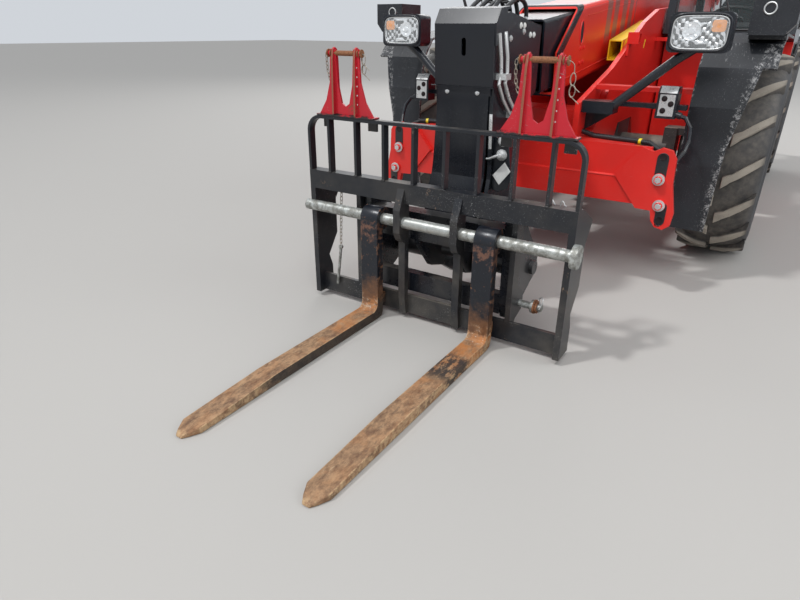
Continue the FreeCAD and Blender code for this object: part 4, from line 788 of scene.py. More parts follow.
def lamp_face(name, low, high, x, hand):
    """Reflector, clear lens, rims, bowl, divider and turn lamp on a front face at x."""
    centre, half = (low + high) / 2, (high - low) / 2
    flat, size = lens_rings(low, high, 26)
    y, z = flat[..., :1], flat[..., 1:]
    facets = 0.0042 * np.sin(y * 190) * np.sin(z * 165 + 1.5 * np.sin(y * 60)) * (1 - size ** 6)
    surface(name + "_reflector", standing(x + 0.0030 + facets, flat), MIRROR, "chassis", crease=12)
    dome = x + 0.0068 + 0.0040 * np.sqrt(1.001 - size ** 2)
    surface(name + "_lens", standing(dome, flat), LENS, "chassis")
    for part, grow, thick, look in (("_rim", 0.004, 0.0038, STEEL), ("_shade_edge", 0.0125, 0.0065, BLACK)):
        loop = standing(x + 0.0045, lens_edge() * (half + grow) + centre)
        wire(name + part, loop, thick, look, "chassis", 10, closed=True, slot="black_paint")
    bowl = (x, centre[0] - hand * half[0] * 0.30, centre[1] + 0.006)
    lathe(name + "_bowl", [(0.043, 0.003), (0.041, 0.0078), (0.030, 0.004), (0.014, 0.0035), (0.013, 0.0088),
                           (0.001, 0.0092)], bowl, (1, 0, 0), MIRROR, "chassis", 40)
    post = [(x + 0.0070, centre[0] + hand * half[0] * 0.38, centre[1] + step * half[1]) for step in (-0.9, 0.0, 0.9)]
    wire(name + "_divider", post, 0.0022, STEEL, "chassis")
    middle, reach = centre + half * np.array([hand * 0.68, 0.42]), half * np.array([0.26, 0.38])
    flat, size = lens_rings(middle - reach, middle + reach, 26)
    surface(name + "_turn_lamp", standing(x + 0.0062 + 0.0008 * (1 - size ** 2), flat), AMBER, "chassis")


for side_name, hand in SIDES:
    name = "headlamp_" + side_name
    inner, outer = sorted((hand * 0.732, hand * 0.968))
    lamp_face(name, np.array([inner, 1.291]), np.array([outer, 1.429]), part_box(name)[1][0] - 0.0030, hand)
print("headlamp faces on")

# %% [markdown]
# ## Pin chains, spring clips and the hanging rod
# Chains are the same link many times, every second one turned a quarter round the line it
# hangs on. One link is a bar round an oval; its grid is multiplied by a small matrix per
# link, so a whole chain is one product of arrays.

# %% Chains and clips
BRACKETS = (("left", 0.487, 0.114, 1.200), ("right", -0.464, 0.0985, 1.240))  # y, and y and z of its clip
CHAIN_WIRE, CLIP_WIRE = 0.0016, 0.0017


def link(pitch):
    """Oval ring: half circles joined by straight sides, lying in its own X and Y."""
    a = around(20)
    oval = np.stack([np.cos(a) * pitch * 0.36 + np.sign(np.cos(a)) * pitch * 0.30, np.sin(a) * pitch * 0.36, 0 * a], 1)
    return bar(oval, CHAIN_WIRE, 8, closed=True)


def chain(name, path, pitch):
    """Links at even steps along a path, each with X along it, alternate ones on edge."""
    length, point = measured(eased(path))
    count = max(int(length / pitch), 2)
    at = (np.arange(count) + 0.5) * length / count
    centre = point(at)
    way = unit(point(at + 0.002) - centre + np.array([0, 0, -1e-6]))
    one, two = square_pair(way)
    odd = (np.arange(count) % 2)[:, None]
    turned_to = np.stack([way, np.where(odd, one, two), np.where(odd, two, -one)], 1)
    grids = np.einsum("rcj,kjx->krcx", link(pitch), turned_to) + centre[:, None, None]
    surface(name, grids, CHAIN, "carriage", along=True)


def at_carriage(*points):
    """Points given from the carriage's front plane, in the machine's frame."""
    return np.array(points, dtype=float) + np.array([CARRIAGE, 0, 0])


def wire_clip(name, y, z, wide, tall):
    """Spring clip: a narrow wire ring of one turn and a half, then a straight leg outwards."""
    a = np.linspace(0.4, 0.4 + 3.2 * math.pi, 70)
    coil = np.stack([-0.030 + 0.003 * np.sin(a * 0.5), y + wide * np.cos(a), z + tall * np.sin(a)], 1)
    leg = coil[-1] + np.outer(np.linspace(0, 1, 8)[1:], [0.0, 0.034, -0.026])
    wire(name, at_carriage(*coil, *leg), CLIP_WIRE, CHAIN, "carriage")


for side_name, y, clip_off, clip_z in BRACKETS:
    clip_y = y + clip_off
    chain("pin_chain_" + side_name, at_carriage(
        (-0.024, y - 0.102, 1.268), (-0.030, y - 0.116, 1.266), (-0.031, y - 0.117, 1.225),
        (-0.031, y - 0.112, 1.175), (-0.028, y - 0.090, 1.128)), 0.016)
    washers = at_carriage(*[(-0.024, y + off, 1.264) for off in (-0.100, -0.080, 0.074, 0.090)])
    lathe("pin_washers_" + side_name, [(0.0175, 0.0), (0.0185, 0.002), (0.0175, 0.005)], washers, (0, 1, 0),
          RUSTY, "carriage", 24)
    lathe("cross_pin_" + side_name, [(0.0114, 0.0), (0.0116, 0.06), (0.0114, 0.126)],
          at_carriage((-0.024, y - 0.058, 1.264)), (0, 1, 0), RUSTY, "carriage", 24)
    wire_clip("pin_clip_" + side_name, clip_y, clip_z, 0.010, 0.022)
    wire_clip("pin_ring_" + side_name, clip_y + 0.002, clip_z - 0.042, 0.011, 0.021)
    hanger = eased([(-0.024, y + 0.088, 1.262), (-0.026, y + 0.100, 1.264), (-0.030, clip_y + 0.001, 1.250),
                    (-0.030, clip_y + 0.002, clip_z + 0.020)])
    wire("pin_hanger_" + side_name, at_carriage(*hanger), CLIP_WIRE, CHAIN, "carriage")
    rivets = [(-0.0138, y + off, z) for off in (-0.068, 0.070) for z in (1.205, 1.165, 1.125, 1.085, 1.045)]
    lathe("bracket_rivets_" + side_name, [(0.0034, 0.0), (0.0028, 0.0012), (0.0004, 0.0016)], at_carriage(*rivets),
          (1, 0, 0), PLATE_WHITE, "carriage", 12, slot="red_paint")

chain("hanging_chain", at_carriage((-0.045, -0.532, 0.620), (-0.032, -0.530, 0.49), (-0.030, -0.538, 0.315)), 0.018)
wire("hanging_rod", at_carriage((-0.030, -0.538, 0.309), (-0.030, -0.553, 0.20), (-0.030, -0.570, 0.093)),
     0.0075, ZINC, "carriage", 14)
lathe("hanging_rod_eye", [(0.0115, -0.006), (0.0115, 0.006)], at_carriage((-0.030, -0.538, 0.312)), (1, 0, 0),
      ZINC, "carriage", 20)
for index, y in enumerate((0.568, 0.613)):
    hoop = at_carriage((-0.052, y - 0.006, 0.711), (-0.052, y - 0.005, 0.728), (-0.052, y, 0.735),
                       (-0.052, y + 0.007, 0.727), (-0.052, y + 0.012, 0.7155), (-0.050, y + 0.020, 0.7145))
    wire("beam_clip_%d" % index, eased(hoop), 0.0022, STEEL, "carriage")
print("chains and clips hung")

# %% [markdown]
# ## Carriage details
# The load guard's uprights are welded to the beam, the locking pin below ends in washers
# and a spring pin, and the fork shaft has a turned cap. Welds are small wavy beads: a bar
# whose radius ripples along its path.

# %% Welds, locking pin and shaft cap
UPRIGHTS, UPRIGHT_STEP = 8, 0.162


def weld_bead(name, start, end, size, look, body, ripples):
    """Straight weld whose radius ripples: r = size * (1 + 0.12 sin(ripples t))."""
    t = np.linspace(0, 1, 3 * ripples)[:, None]
    radius = size * (1 + 0.12 * np.sin(TURN * ripples * t[:, 0]))
    wire(name, start + (end - start) * t, radius, look, body)


for index in range(UPRIGHTS):
    y = (index - (UPRIGHTS - 1) / 2) * UPRIGHT_STEP
    foot = at_carriage((0.0005, y - 0.009, 0.7125), (0.0005, y + 0.009, 0.7125))
    weld_bead("guard_weld_%d" % index, *foot, 0.0042, SCUFFED, "carriage", 3)
lathe("pin_washer_stack", [(0.034, -0.004), (0.034, 0.004), (0.027, 0.004), (0.027, 0.011), (0.030, 0.011),
                           (0.030, 0.015), (0.018, 0.015)],
      at_carriage((-0.150, 0.5155, 0.190)), (0, 1, 0), RUSTY, "carriage")
wire("pin_spring_bar", at_carriage((-0.150, 0.538, 0.218), (-0.150, 0.538, 0.162)), 0.0042, STEEL, "carriage", 10)
loop = at_carriage((-0.150, 0.538, 0.216), (-0.150, 0.533, 0.236), (-0.148, 0.545, 0.246),
                   (-0.140, 0.556, 0.236), (-0.128, 0.553, 0.214), (-0.124, 0.545, 0.192))
wire("pin_spring_loop", eased(loop), 0.0026, STEEL, "carriage")
lathe("shaft_cap_face", [(0.050, 0.0), (0.050, 0.002), (0.040, 0.0035), (0.036, 0.0015), (0.012, 0.0015),
                         (0.010, 0.003), (0.001, 0.003)],
      at_carriage((0.0, 0.7255, 0.526)), (0, 1, 0), ZINC, "carriage", 48)
print("carriage details on")

# %% [markdown]
# ## Boom head
# The cover over the head is sheet steel with two small bolts. Beside it a small plate faces
# forward with a valve and its lever, and below them a blank tag that hangs askew.

# %% Cover bolts, valve, lever and tag
HEAD_SIDE = 0.1502                      # y of the head's side, with a hair's gap
bolts("cover_bolts", at_carriage((-0.3152, -0.086, 1.101), (-0.3152, 0.072, 1.101)), (1, 0, 0.09), 0.0075,
      STEEL, "boom_inner")
head_spots = [(x, 0.1505, z) for x, z in ((-0.62, 1.36), (-0.47, 1.33), (-0.47, 1.10), (-0.60, 0.90))]
bolts("head_bolts", at_carriage(*head_spots), (0, 1, 0), 0.010, STEEL, "boom_inner")
holder = [(HEAD_SIDE, 0.905), (0.222, 0.880), (0.250, 0.715), (0.236, 0.664), (0.188, 0.640), (HEAD_SIDE, 0.650)]
soften(surface("tag_holder", slab(holder, "X", CARRIAGE - 0.380, CARRIAGE - 0.373), BLACK, "boom_inner"), 0.002)
tag = [(0.212, 0.789), (0.246, 0.748), (0.191, 0.676), (0.153, 0.720)]
tag = slab(tag, "X", CARRIAGE - 0.3725, CARRIAGE - 0.3700)
soften(surface("blank_tag", tag, PLATE_WHITE, "boom_inner"), 0.0012)
valve = at_carriage((-0.362, 0.194, 0.822))
fittings = valve + np.array([(0, 0, 0), (-0.004, 0.002, 0.066)])
lathe("valve_bodies", [(0.023, -0.011), (0.023, 0.004), (0.018, 0.006), (0.018, 0.014), (0.011, 0.016),
                       (0.009, 0.028), (0.001, 0.029)], fittings, (1, 0, 0), STEEL, "boom_inner", 6, crease=25)
lathe("valve_collars", [(0.027, -0.011), (0.027, -0.004), (0.021, -0.002)], fittings, (1, 0, 0), STEEL,
      "boom_inner", 28)
lever = eased(valve + np.array([(0.020, 0.004, 0.004), (0.024, -0.020, -0.004), (0.022, -0.048, -0.018),
                                (0.020, -0.066, -0.020)]))
wire("valve_lever", lever, np.linspace(0.0085, 0.0045, len(lever)), STEEL, "boom_inner", 10)
band = at_carriage(*[(-0.3128, y, 1.125) for y in (-0.172, 0.0, 0.150)])
wire("cover_band", band, 0.0032, BLACK, "boom_inner")
print("head dressed")

# %% [markdown]
# Short hoses leave the cover's back edge, arch over the head and go down into a block of
# fittings. One arch is a rounded path; all five are the same path moved sideways, each
# bent a little its own way in the middle.

# %% Hoses over the head
HOSE_Y = (-0.084, -0.042, 0.0, 0.042, 0.084)
arch = eased([(-0.440, 1.447), (-0.500, 1.449), (-0.560, 1.478), (-0.640, 1.510), (-0.720, 1.508),
              (-0.775, 1.478), (-0.792, 1.430), (-0.792, 1.408)])
spread = np.sin(np.linspace(0, math.pi, len(arch)))
for index, y in enumerate(HOSE_Y):
    bend = np.array([0.012 * math.cos(index * 2.1), 0.006 * math.sin(index * 1.7), 0.010 * math.sin(index * 2.6)])
    line = np.insert(arch, 1, y, axis=1) + spread[:, None] * bend
    wire("head_hose_%d" % index, at_carriage(*line), 0.0105, HOSE, "boom_inner", 12)
lathe("head_hose_fittings", [(0.016, 0.0), (0.016, 0.020), (0.013, 0.024), (0.013, 0.036), (0.0108, 0.038)],
      at_carriage(*[(-0.792, y, 1.388) for y in HOSE_Y]), (0, 0, 1), STEEL, "boom_inner", 6, crease=25)
tie = eased([(-0.655, -0.098, 1.488), (-0.655, -0.098, 1.530), (-0.655, 0.098, 1.530), (-0.655, 0.098, 1.488)], 2)
wire("head_hose_tie", at_carriage(*tie), 0.004, TRIM, "boom_inner", closed=True)
foot = slab(rectangle((-0.108, 1.384), (0.108, 1.3965)), "X", CARRIAGE - 0.816, CARRIAGE - 0.768)
soften(surface("head_hose_block", foot, BLACK, "boom_inner"), 0.002)
print("head hoses", len(HOSE_Y))

# %% [markdown]
# ## Boom side and top
# On the red outer section there is an oval hand hole, and its slanted stripes are already in
# the paint. The real forms left are the wear-pad screws, the hole's raised edge, the caps of
# the pivot pin, the long weld seams and two pairs of bolts on the head's side.

# %% Boom details
def boom_spot(s, y, n):
    """A point s along the boom from its pivot, y aside and n above its middle line."""
    s, y, n = np.broadcast_arrays(np.asarray(s, float), y, n)
    cosine, sine = math.cos(BOOM_TILT), math.sin(BOOM_TILT)
    return np.stack([BOOM_PIVOT[0] + s * cosine + n * sine, y, BOOM_PIVOT[1] - s * sine + n * cosine], -1)


pad_s = np.repeat([BOOM_MOUTH - 0.46, BOOM_MOUTH - 0.40], 2)
pad_n = np.tile([-0.10, -0.02], 2)
oval = around(40)
for side_name, hand in SIDES:
    bolts("pad_screws_" + side_name, boom_spot(pad_s, hand * 0.1702, pad_n), (0, hand, 0), 0.009, RED, "boom_outer",
          slot="red_paint")
    ring = boom_spot(BOOM_HOLE[0] + 0.032 * np.cos(oval), hand * 0.1705, BOOM_HOLE[1] + 0.064 * np.sin(oval))
    wire("boom_hole_edge_" + side_name, ring, 0.004, RED, "boom_outer", closed=True)
    # The hand hole is no opening: a near-black disc just inside its edge is painted shade, where the dark inside of the
    # boom would show.
    shrink = np.array([1.0, 0.5, 0.02])[:, None]
    disc = boom_spot(BOOM_HOLE[0] + 0.030 * shrink * np.cos(oval), hand * (0.1704 + 0.0003 * (1 - shrink)),
                     BOOM_HOLE[1] + 0.062 * shrink * np.sin(oval))
    surface("boom_hole_" + side_name, disc, PAINTED_SHADE_AND_BLACK, "boom_outer")
    cap = turned([(0.072, 0.0), (0.072, 0.010), (0.055, 0.016), (0.001, 0.016)], (BOOM_PIVOT[0], hand * 0.370,
                                                                                  BOOM_PIVOT[1]), (0, hand, 0), 40)
    surface("boom_pin_cap_" + side_name, cap, RED, "chassis")
    top_seam = boom_spot([0.35, 3.75], hand * 0.170, 0.150)
    weld_bead("boom_seam_top_" + side_name, *top_seam, 0.0028, BOOM_RED, "boom_outer", 260)
    low_seam = boom_spot([0.35, 4.10], hand * 0.170, -0.150)
    weld_bead("boom_seam_low_" + side_name, *low_seam, 0.0028, BOOM_RED, "boom_outer", 260)
head_pairs = at_carriage(*[(x + d, 0.1502, z) for x, z in ((-0.728, 1.345), (-0.60, 1.385)) for d in (-0.022, 0.022)])
bolts("head_side_bolts", head_pairs, (0, 1, 0), 0.0095, PLATE_WHITE, "boom_inner")
print("boom dressed")

# %% [markdown]
# ## Front of the chassis
# The hoses along the crossbeam wear a spiral sleeve, which is the same bar with a radius
# that ripples along its length. The valve block gets a bright top plate with plugs, and the
# two red bosses on each end plate get their bolts and black straps.

# %% Hose sleeves, valve plates and frame bolts
def oblong(middle, low, high, radius):
    """Slot outline: middle + r * cos a across, and r * sin a above the high or below the low end."""
    a = around(32)
    return np.stack([middle + radius * np.cos(a), np.where(np.sin(a) >= 0, high, low) + radius * np.sin(a)], 1)


BEAM_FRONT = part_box("front_crossbeam")[1][0] - 0.064
for side_name, hand in SIDES:
    inner, outer = sorted((hand * 0.702, hand * 0.798))
    slope = np.array([(BEAM_FRONT - 0.1385, 1.0725), (BEAM_FRONT - 0.1662, 1.1044), (BEAM_FRONT - 0.168, 1.1030),
                      (BEAM_FRONT - 0.1400, 1.0705)])
    plate = slab(slope + 0.0012, "Y", inner + 0.006, outer - 0.006)
    surface("valve_plate_" + side_name, plate, STEEL, "chassis")
    face = slab([(BEAM_FRONT - 0.1385, 0.958), (BEAM_FRONT - 0.1372, 0.958), (BEAM_FRONT - 0.1372, 1.066),
                 (BEAM_FRONT - 0.1385, 1.066)], "Y", inner + 0.01, outer - 0.01)
    surface("valve_face_" + side_name, face, STEEL, "chassis")
    plugs = np.array([(BEAM_FRONT - 0.1371, hand * y, z) for y, z in ((0.735, 1.045), (0.770, 1.02), (0.735, 0.985))])
    bolts("valve_plugs_" + side_name, plugs, (1, 0, 0), 0.010, PAINTED_SHADE_AND_BLACK, "chassis")
    boss = np.array([(BEAM_FRONT + 0.0622, hand * 0.810, 0.663), (BEAM_FRONT + 0.0622, hand * 0.835, 0.528)])
    lathe("end_bolt_faces_" + side_name, [(0.0205, -0.024), (0.0205, 0.0), (0.0165, 0.0022), (0.0002, 0.0024)],
          boss, (1, 0, 0), STEEL, "chassis", 6, crease=25)
    lathe("end_washers_" + side_name, [(0.031, -0.0205), (0.031, -0.0165), (0.024, -0.0150)], boss, (1, 0, 0),
          STEEL, "chassis")
    strap = [oblong(0.812, 0.672, 0.770, 0.029), oblong(0.850, 0.446, 0.520, 0.026)]
    strap = np.stack([slab(outline * np.array([hand, 1.0]), "X", BEAM_FRONT + 0.029,
                           BEAM_FRONT + 0.0335) for outline in strap])
    soften(surface("end_straps_" + side_name, strap, SCUFFED, "chassis", crease=25), 0.0012)
    # Near-black dishes at the two ends of each strap are painted shade, where the strap's holes would show dark.
    socket = np.array([(BEAM_FRONT + 0.0335, hand * 0.812, 0.778), (BEAM_FRONT + 0.0335, hand * 0.850, 0.448)])
    lathe("end_socket_shades_" + side_name, [(0.0002, 0.0006), (0.012, 0.0008), (0.017, 0.0030), (0.019, 0.0)], socket,
          (1, 0, 0), PAINTED_SHADE_AND_BLACK, "chassis", 24)
    knots = np.array([(-0.136, 0.329, 0.846), (-0.134, 0.400, 0.8273), (-0.105, 0.520, 0.8273), (-0.088, 0.640,
                                                                                                 0.8273), (-0.072,
                                                                                                           0.715, 0.8243), (-0.048, 0.770, 0.796), (0.001, 0.789, 0.760)])
    tube = knots * np.array([1, hand, 1]) + np.array([BEAM_FRONT, 0, 0])
    length, point = measured(tube)
    t = np.linspace(0, length, 420)
    fine = point(t)
    wire("hose_sleeve_" + side_name, fine, 0.0140 + 0.0011 * np.sin(t * 2 * math.pi / 0.0085), HOSE, "chassis", 12)
    tag = np.stack([fine[268], fine[280]])
    wire("hose_tag_" + side_name, tag, 0.0165, LABEL_YELLOW, "chassis", 14)
    seam = np.array([(BEAM_FRONT + 0.0145, hand * 0.26, 0.6495), (BEAM_FRONT + 0.0145, hand * 0.690, 0.6495)])
    weld_bead("beam_weld_" + side_name, *seam, 0.0030, RED, "chassis", 40)
surface("frame_tag", slab([(-0.1020, 1.258), (-0.0900, 1.258), (-0.1100, 1.312), (-0.1230, 1.312)], "Y", 0.330,
                          0.3315), LABEL_YELLOW, "chassis", slot="red_paint")
print("chassis front dressed")

# %% [markdown]
# ## Cab
# The engineering cab has its walls, windows, door, seat and console. The eye expects the
# things a driver touches and sees: rubber seals round the panes, a wiper, a door handle,
# lamps under the roof's edge, mirror glass, a padded seat, pedals and a round wheel rim.

# %% Cab outside
DOOR_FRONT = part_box("cab_door")[1][0]
ROOF_LOW, ROOF_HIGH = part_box("cab_roof")
SCREEN_FOOT, SCREEN_HEAD = np.array([-0.600, 1.350]), np.array([-0.790, 2.400])


def on_screen(y, z, out=0.0):
    """A point on the sloping windscreen at height z, moved outwards."""
    t = (np.asarray(z) - SCREEN_FOOT[1]) / (SCREEN_HEAD[1] - SCREEN_FOOT[1])
    x = SCREEN_FOOT[0] + t * (SCREEN_HEAD[0] - SCREEN_FOOT[0]) + out
    return np.stack(np.broadcast_arrays(x, y, z), -1)


screen = round_corners([on_screen(y, z, 0.001) for y, z in ((0.409, 1.378), (1.136, 1.378), (1.136, 2.324), (0.409,
                                                                                                             2.324))], 0.06)
wire("windscreen_seal", screen, 0.009, HOSE, "chassis", closed=True)
UPPER_PANE = [(-0.793, 1.392), (-0.938, 2.278), (-1.732, 2.278), (-1.772, 1.392)]
LOWER_PANE = [(-0.907, 0.702), (-0.907, 1.288), (-1.773, 1.288), (-1.773, 0.702)]
for name, pane in (("upper", UPPER_PANE), ("lower", LOWER_PANE)):
    loop = round_corners([(x, 1.199, z) for x, z in pane], 0.06)
    wire("door_seal_" + name, loop, 0.008, HOSE, "cab_door", closed=True)
arm = np.array([on_screen(0.80, 1.365, 0.030), on_screen(0.80, 1.400, 0.034), on_screen(0.70, 1.66, 0.026),
                on_screen(0.655, 1.80, 0.020)])
wire("wiper_arm", eased(arm, 2), 0.0055, TRIM, "chassis")
wire("wiper_blade", on_screen(np.linspace(0.700, 0.612, 12), np.linspace(1.52, 2.06, 12), 0.012), 0.0065, HOSE,
     "chassis")
lathe("wiper_hub", [(0.020, -0.035), (0.020, 0.0), (0.014, 0.006), (0.001, 0.007)], on_screen(0.80, 1.372, 0.034),
      (1, 0, 0.18), TRIM, "chassis", 24)
grip_x = DOOR_FRONT - 0.150
handle = eased([(grip_x, 1.199, 1.215), (grip_x, 1.228, 1.215), (grip_x, 1.228, 1.095), (grip_x, 1.199, 1.095)], 2)
wire("door_handle", handle, 0.009, TRIM, "cab_door", 12)
lathe("door_lock", [(0.022, 0.0), (0.022, 0.008), (0.012, 0.012), (0.001, 0.012)], (grip_x, 1.199, 1.045), (0, 1,
                                                                                                            0), STEEL, "cab_door", 24)
lamps_at = np.array([(ROOF_HIGH[0] - 0.010, y, ROOF_LOW[2] + 0.034) for y in (0.46, 0.56, 0.99, 1.09)])
lathe("roof_lamp_shells", [(0.030, -0.05), (0.033, 0.006), (0.029, 0.009)], lamps_at, (1, 0, 0), TRIM, "chassis")
lathe("roof_lamp_faces", [(0.029, 0.006), (0.020, 0.010), (0.001, 0.0115)], lamps_at, (1, 0, 0), MIRROR, "chassis",
      slot="window_glass")
for side_name, hand, x in (("left", 1, -0.600), ("right", -1, -0.400)):
    inner, outer = sorted((hand * 1.270, hand * 1.410))
    pane = round_corners([(inner, 1.710), (outer, 1.710), (outer, 1.990), (inner, 1.990)], 0.022)
    surface("mirror_glass_" + side_name, slab(pane, "X", x - 0.0030, x + 0.0005), MIRROR_GLASS, "chassis")
print("cab outside dressed")

# %% [markdown]
# The seat is foam under cloth. A cushion is a rounded block that is crowned on top, pulled
# in between its corners, and pressed along sewn channels: all three are sums of cosines
# over the same grid.

# %% Seat and controls
def cushion(centre, half, channels, crown, lean=0.0):
    """Rounded block with a crown, drawn-in sides, sewn channels and a lean back with height."""
    block = rounded_block((0, 0, 0), (1, 1, 1), 0.32, 40, 72)
    u, v, w = block[..., 0], block[..., 1], block[..., 2]
    pull = 1 - 0.035 * (np.cos(u * math.pi / 2) + np.cos(v * math.pi / 2))
    face = w if half[2] < half[0] else u
    sewn = 1 - 0.10 * np.exp(-((np.abs(v) - 0.62) / 0.05) ** 2) - 0.05 * np.exp(-(np.sin(channels * (u if face is w else w) * math.pi) / 0.16) ** 2)
    rise = 1 + crown * np.cos(u * math.pi / 2) * np.cos(v * math.pi / 2)
    if face is w:
        spot = np.stack([u * pull, v * pull, w * sewn * rise], -1) * np.asarray(half)
    else:
        rise = 1 + crown * np.cos(w * math.pi / 2) * np.cos(v * math.pi / 2)
        spot = np.stack([u * sewn * rise, v * pull, w], -1) * np.asarray(half)
    spot[..., 0] -= lean * spot[..., 2]
    return spot + np.asarray(centre)


SEAT_X = -1.642
pad = surface("seat_cushion", cushion((SEAT_X + 0.229, 0.780, 1.015), (0.226, 0.216, 0.050), 2, 0.10), CLOTH,
              "chassis")
back = surface("seat_backrest", cushion((SEAT_X - 0.006, 0.780, 1.330), (0.046, 0.212, 0.305), 2, 0.12, 0.152),
               CLOTH, "chassis")
base = surface("seat_base", rounded_block((SEAT_X + 0.219, 0.780, 0.778), (0.136, 0.127, 0.200), 0.12, 18, 36),
               TRIM, "chassis")
for piece in (pad, back, base):
    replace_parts(piece, "seat")
HUB = np.array([-1.009, 0.780, 1.440])
FLAT, FACE = np.array([0.883, 0, 0.469]), np.array([-0.469, 0, 0.883])
turn = around(72)[:, None]
wheel_rim = HUB + 0.190 * (np.cos(turn) * FLAT + np.sin(turn) * np.array([0, 1.0, 0]))
wire("steering_grip", wheel_rim, 0.0150, HOSE, "chassis", 14, closed=True)
lathe("steering_boss", [(0.048, 0.004), (0.046, 0.016), (0.020, 0.022), (0.001, 0.022)], HUB, FACE, TRIM, "chassis")
dash = slab([(-0.9245, 1.3815), (-0.8800, 1.4310), (-0.8822, 1.4335), (-0.9270, 1.3840)], "Y", 0.62, 0.94)
surface("dash_panel", dash, PAINTED_SHADE_AND_BLACK, "chassis", slot="black_plastic")
dials = np.array([(-0.9045, y, 1.4087) for y in (0.70, 0.78, 0.86)])
lathe("dash_dials", [(0.022, 0.0), (0.022, 0.003), (0.019, 0.0035), (0.001, 0.0035)], dials, (-0.745, 0, 0.667),
      PLATE_WHITE, "chassis", 28)
for name, y in (("brake", 0.700), ("throttle", 0.880)):
    stem = eased([(-0.915, y, 0.76), (-0.945, y, 0.72), (-0.975, y, 0.655)], 2)
    wire(name + "_pedal_stem", stem, 0.007, STEEL, "chassis", 10)
    surface(name + "_pedal", rounded_block((-0.978, y, 0.652), (0.012, 0.034, 0.038), 0.3, 12, 24), HOSE, "chassis")
print("seat and controls in")

# %% [markdown]
# ## Engine side, step and back
# Sheet-metal panels show how they open by their latches, and behind the louvres a dark sheet is painted shade in place
# of the dark engine bay. The step has raised studs so that a boot does not slip. At the back there are
# two lamp clusters, each with a red and an orange lens.

# %% Panels, step and rear lamps
# Painted shade: a near-black sheet just inside the louvres stands in for the shade in the engine bay behind them.
surface("louvre_shade_sheet", slab([(-1.840, 0.590), (-1.065, 0.590), (-1.065, 0.900), (-1.840, 0.900)], "Y", -1.1500,
                              -1.1480), PAINTED_SHADE_AND_BLACK, "chassis", slot="black_plastic")
slat_z = np.linspace(0.635, 0.855, 6)
slats = np.stack([slab([(-1.835, z), (-1.068, z), (-1.068, z + 0.006), (-1.835, z + 0.006)], "Y", -1.172,
                       -1.150) for z in slat_z])
surface("louvre_slats", slats, BLACK, "chassis")
HOOD_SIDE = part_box("engine_hood")[0][1]
for index, x in enumerate((-1.72, -0.90)):
    latch = rounded_block((x, HOOD_SIDE - 0.004, 1.050), (0.042, 0.010, 0.024))
    surface("hood_latch_%d" % index, latch, TRIM, "engine_hood")
    pull = rounded_block((x, HOOD_SIDE - 0.012, 1.044), (0.026, 0.006, 0.010), 0.3, 10, 20)
    surface("hood_latch_grip_%d" % index, pull, HOSE, "engine_hood")
cap_at = (-0.880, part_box("fuel_tank")[0][1] + 0.001, 0.850)
lathe("fuel_cap", [(0.052, 0.0), (0.052, 0.010), (0.046, 0.014), (0.046, 0.026), (0.040, 0.030), (0.001, 0.030)],
      cap_at, (0, -1, 0), HOSE, "chassis", 36)
gx, gy = np.meshgrid(np.linspace(-1.625, -1.190, 14), np.linspace(1.050, 1.192, 5))
studs = np.stack([gx.ravel(), gy.ravel(), np.full(gx.size, 0.3295)], 1)
lathe("step_studs", [(0.0105, 0.0), (0.0095, 0.003), (0.004, 0.0042), (0.0003, 0.0042)], studs, (0, 0, 1), RED,
      "chassis", 12)
back_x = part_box("rear_lamps")[0][0]
RING_Y, RING_Z = 1.105, 1.470
for side_name, hand in SIDES:
    for name, y0, y1, look in (("stop", 0.622, 0.748, LENS_RED), ("turn", 0.532, 0.614, ORANGE)):
        centre = np.array([hand * (y0 + y1) / 2, 1.390])
        half = np.array([(y1 - y0) / 2, 0.040])
        shell = np.linspace(1.0, 0.02, 16)[:, None, None]
        flat = lens_edge() * half * shell + centre
        bulge = back_x + 0.001 - 0.007 * np.sqrt(1.001 - shell ** 2) * np.ones_like(flat[..., :1])
        surface(name + "_lamp_" + side_name, np.concatenate([bulge, flat], -1), look, "chassis", slot="window_glass")
    ring_a = around(40)
    ring = np.stack([np.full(40, 0.9135), hand * RING_Y + 0.026 * np.cos(ring_a), RING_Z + 0.026 * np.sin(ring_a)], 1)
    wire("guard_ring_" + side_name, ring, 0.004, STEEL, "chassis", closed=True)
WEIGHT_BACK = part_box("counterweight")[0][0]
weight_bolts = np.array([(WEIGHT_BACK + 0.0005, y, z) for y in (-0.34, 0.34) for z in (0.78, 1.10)])
bolts("weight_bolts", weight_bolts, (-1, 0, 0), 0.022, DARK_GREY, "chassis")
print("panels, step and lamps done")

# %% [markdown]
# ## Frame sides and boom pipes
# Big plain plates need the small things that fix them: a keeper with two bolts holds the
# boom's pivot pin, grease nipples sit by the joints, a red reflector sits on each side of the
# back, and two steel pipes run down the boom in clamps. The pipes are straight bars in the
# boom's own frame.

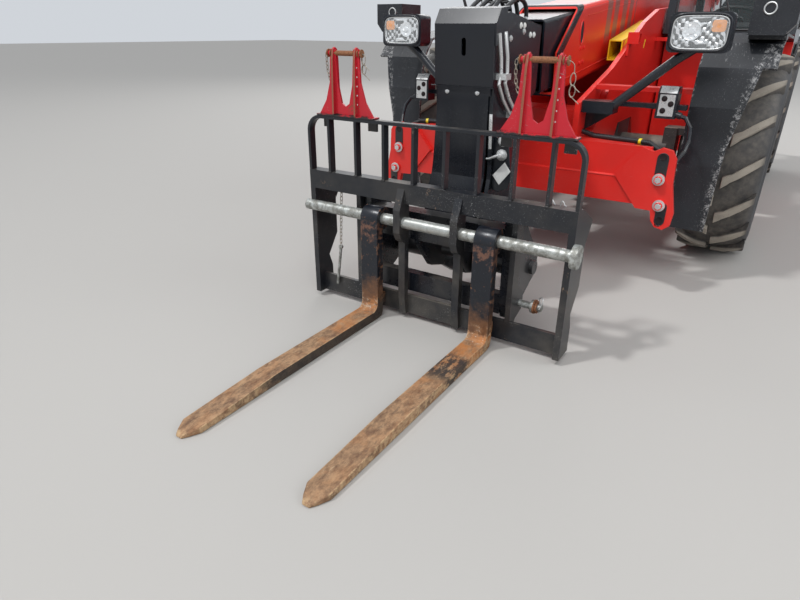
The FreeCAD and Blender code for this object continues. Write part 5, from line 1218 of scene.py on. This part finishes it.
# %% Keepers, nipples, pipes and reflectors
for side_name, hand in SIDES:
    y0, y1 = sorted((hand * 0.3295, hand * 0.3375))
    keeper = round_corners([(-3.060, 1.540), (-2.935, 1.540), (-2.935, 1.592), (-3.060, 1.592)], 0.014)
    surface("pivot_keeper_" + side_name, slab(keeper, "Y", y0, y1), BLACK, "chassis")
    bolts("pivot_keeper_bolts_" + side_name, np.array([(-3.033, hand * 0.3375, 1.566), (-2.962, hand * 0.3375,
                                                                                        1.566)]), (0, hand,
                                                                                                   0), 0.011, STEEL, "chassis")
    nipples = np.array([(-2.9985, hand * 0.3695, 1.690), (-2.700, hand * 0.3295, 1.150), (0.080, hand * 0.3295,
                                                                                          1.020)])
    lathe("grease_nipples_" + side_name, [(0.008, 0.0), (0.008, 0.005), (0.0045, 0.007), (0.0045, 0.012), (0.006,
                                                                                                           0.014), (0.0035, 0.018), (0.0003, 0.0185)], nipples, (0, hand, 0), STEEL, "chassis", 14)
    plate_y, plate_z = np.array([-0.055, 0.055]) + hand * 0.30, np.array([0.655, 0.700])
    reflector = round_corners([(plate_y[0], plate_z[0]), (plate_y[1], plate_z[0]), (plate_y[1], plate_z[1]),
                               (plate_y[0], plate_z[1])], 0.012)
    surface("reflector_" + side_name, slab(reflector, "X", WEIGHT_BACK - 0.0040, WEIGHT_BACK + 0.0010), LENS_RED,
            "chassis")
for index, n in enumerate((0.015, 0.060)):
    pipe = boom_spot(np.linspace(0.42, 3.25, 24), -0.1860, n)
    wire("boom_side_pipe_%d" % index, pipe, 0.0105, ZINC, "boom_outer", 14)
    for end, s in (("back", 0.42), ("front", 3.25)):
        elbow = eased([boom_spot(s, -0.1860, n), boom_spot(s + (0.05 if end == "front" else -0.05), -0.1860, n),
                       boom_spot(s + (0.06 if end == "front" else -0.06), -0.1690, n)], 3)
        wire("boom_pipe_%s_elbow_%d" % (end, index), elbow, 0.0125, STEEL, "boom_outer", 12)
clamps = np.stack([rounded_block(boom_spot(s, -0.1830, 0.0375), (0.020, 0.015, 0.046)) for s in np.linspace(0.75,
                                                                                                            3.0, 5)])
surface("boom_pipe_clamps", clamps, TRIM, "boom_outer")
print("keepers, nipples and pipes on")
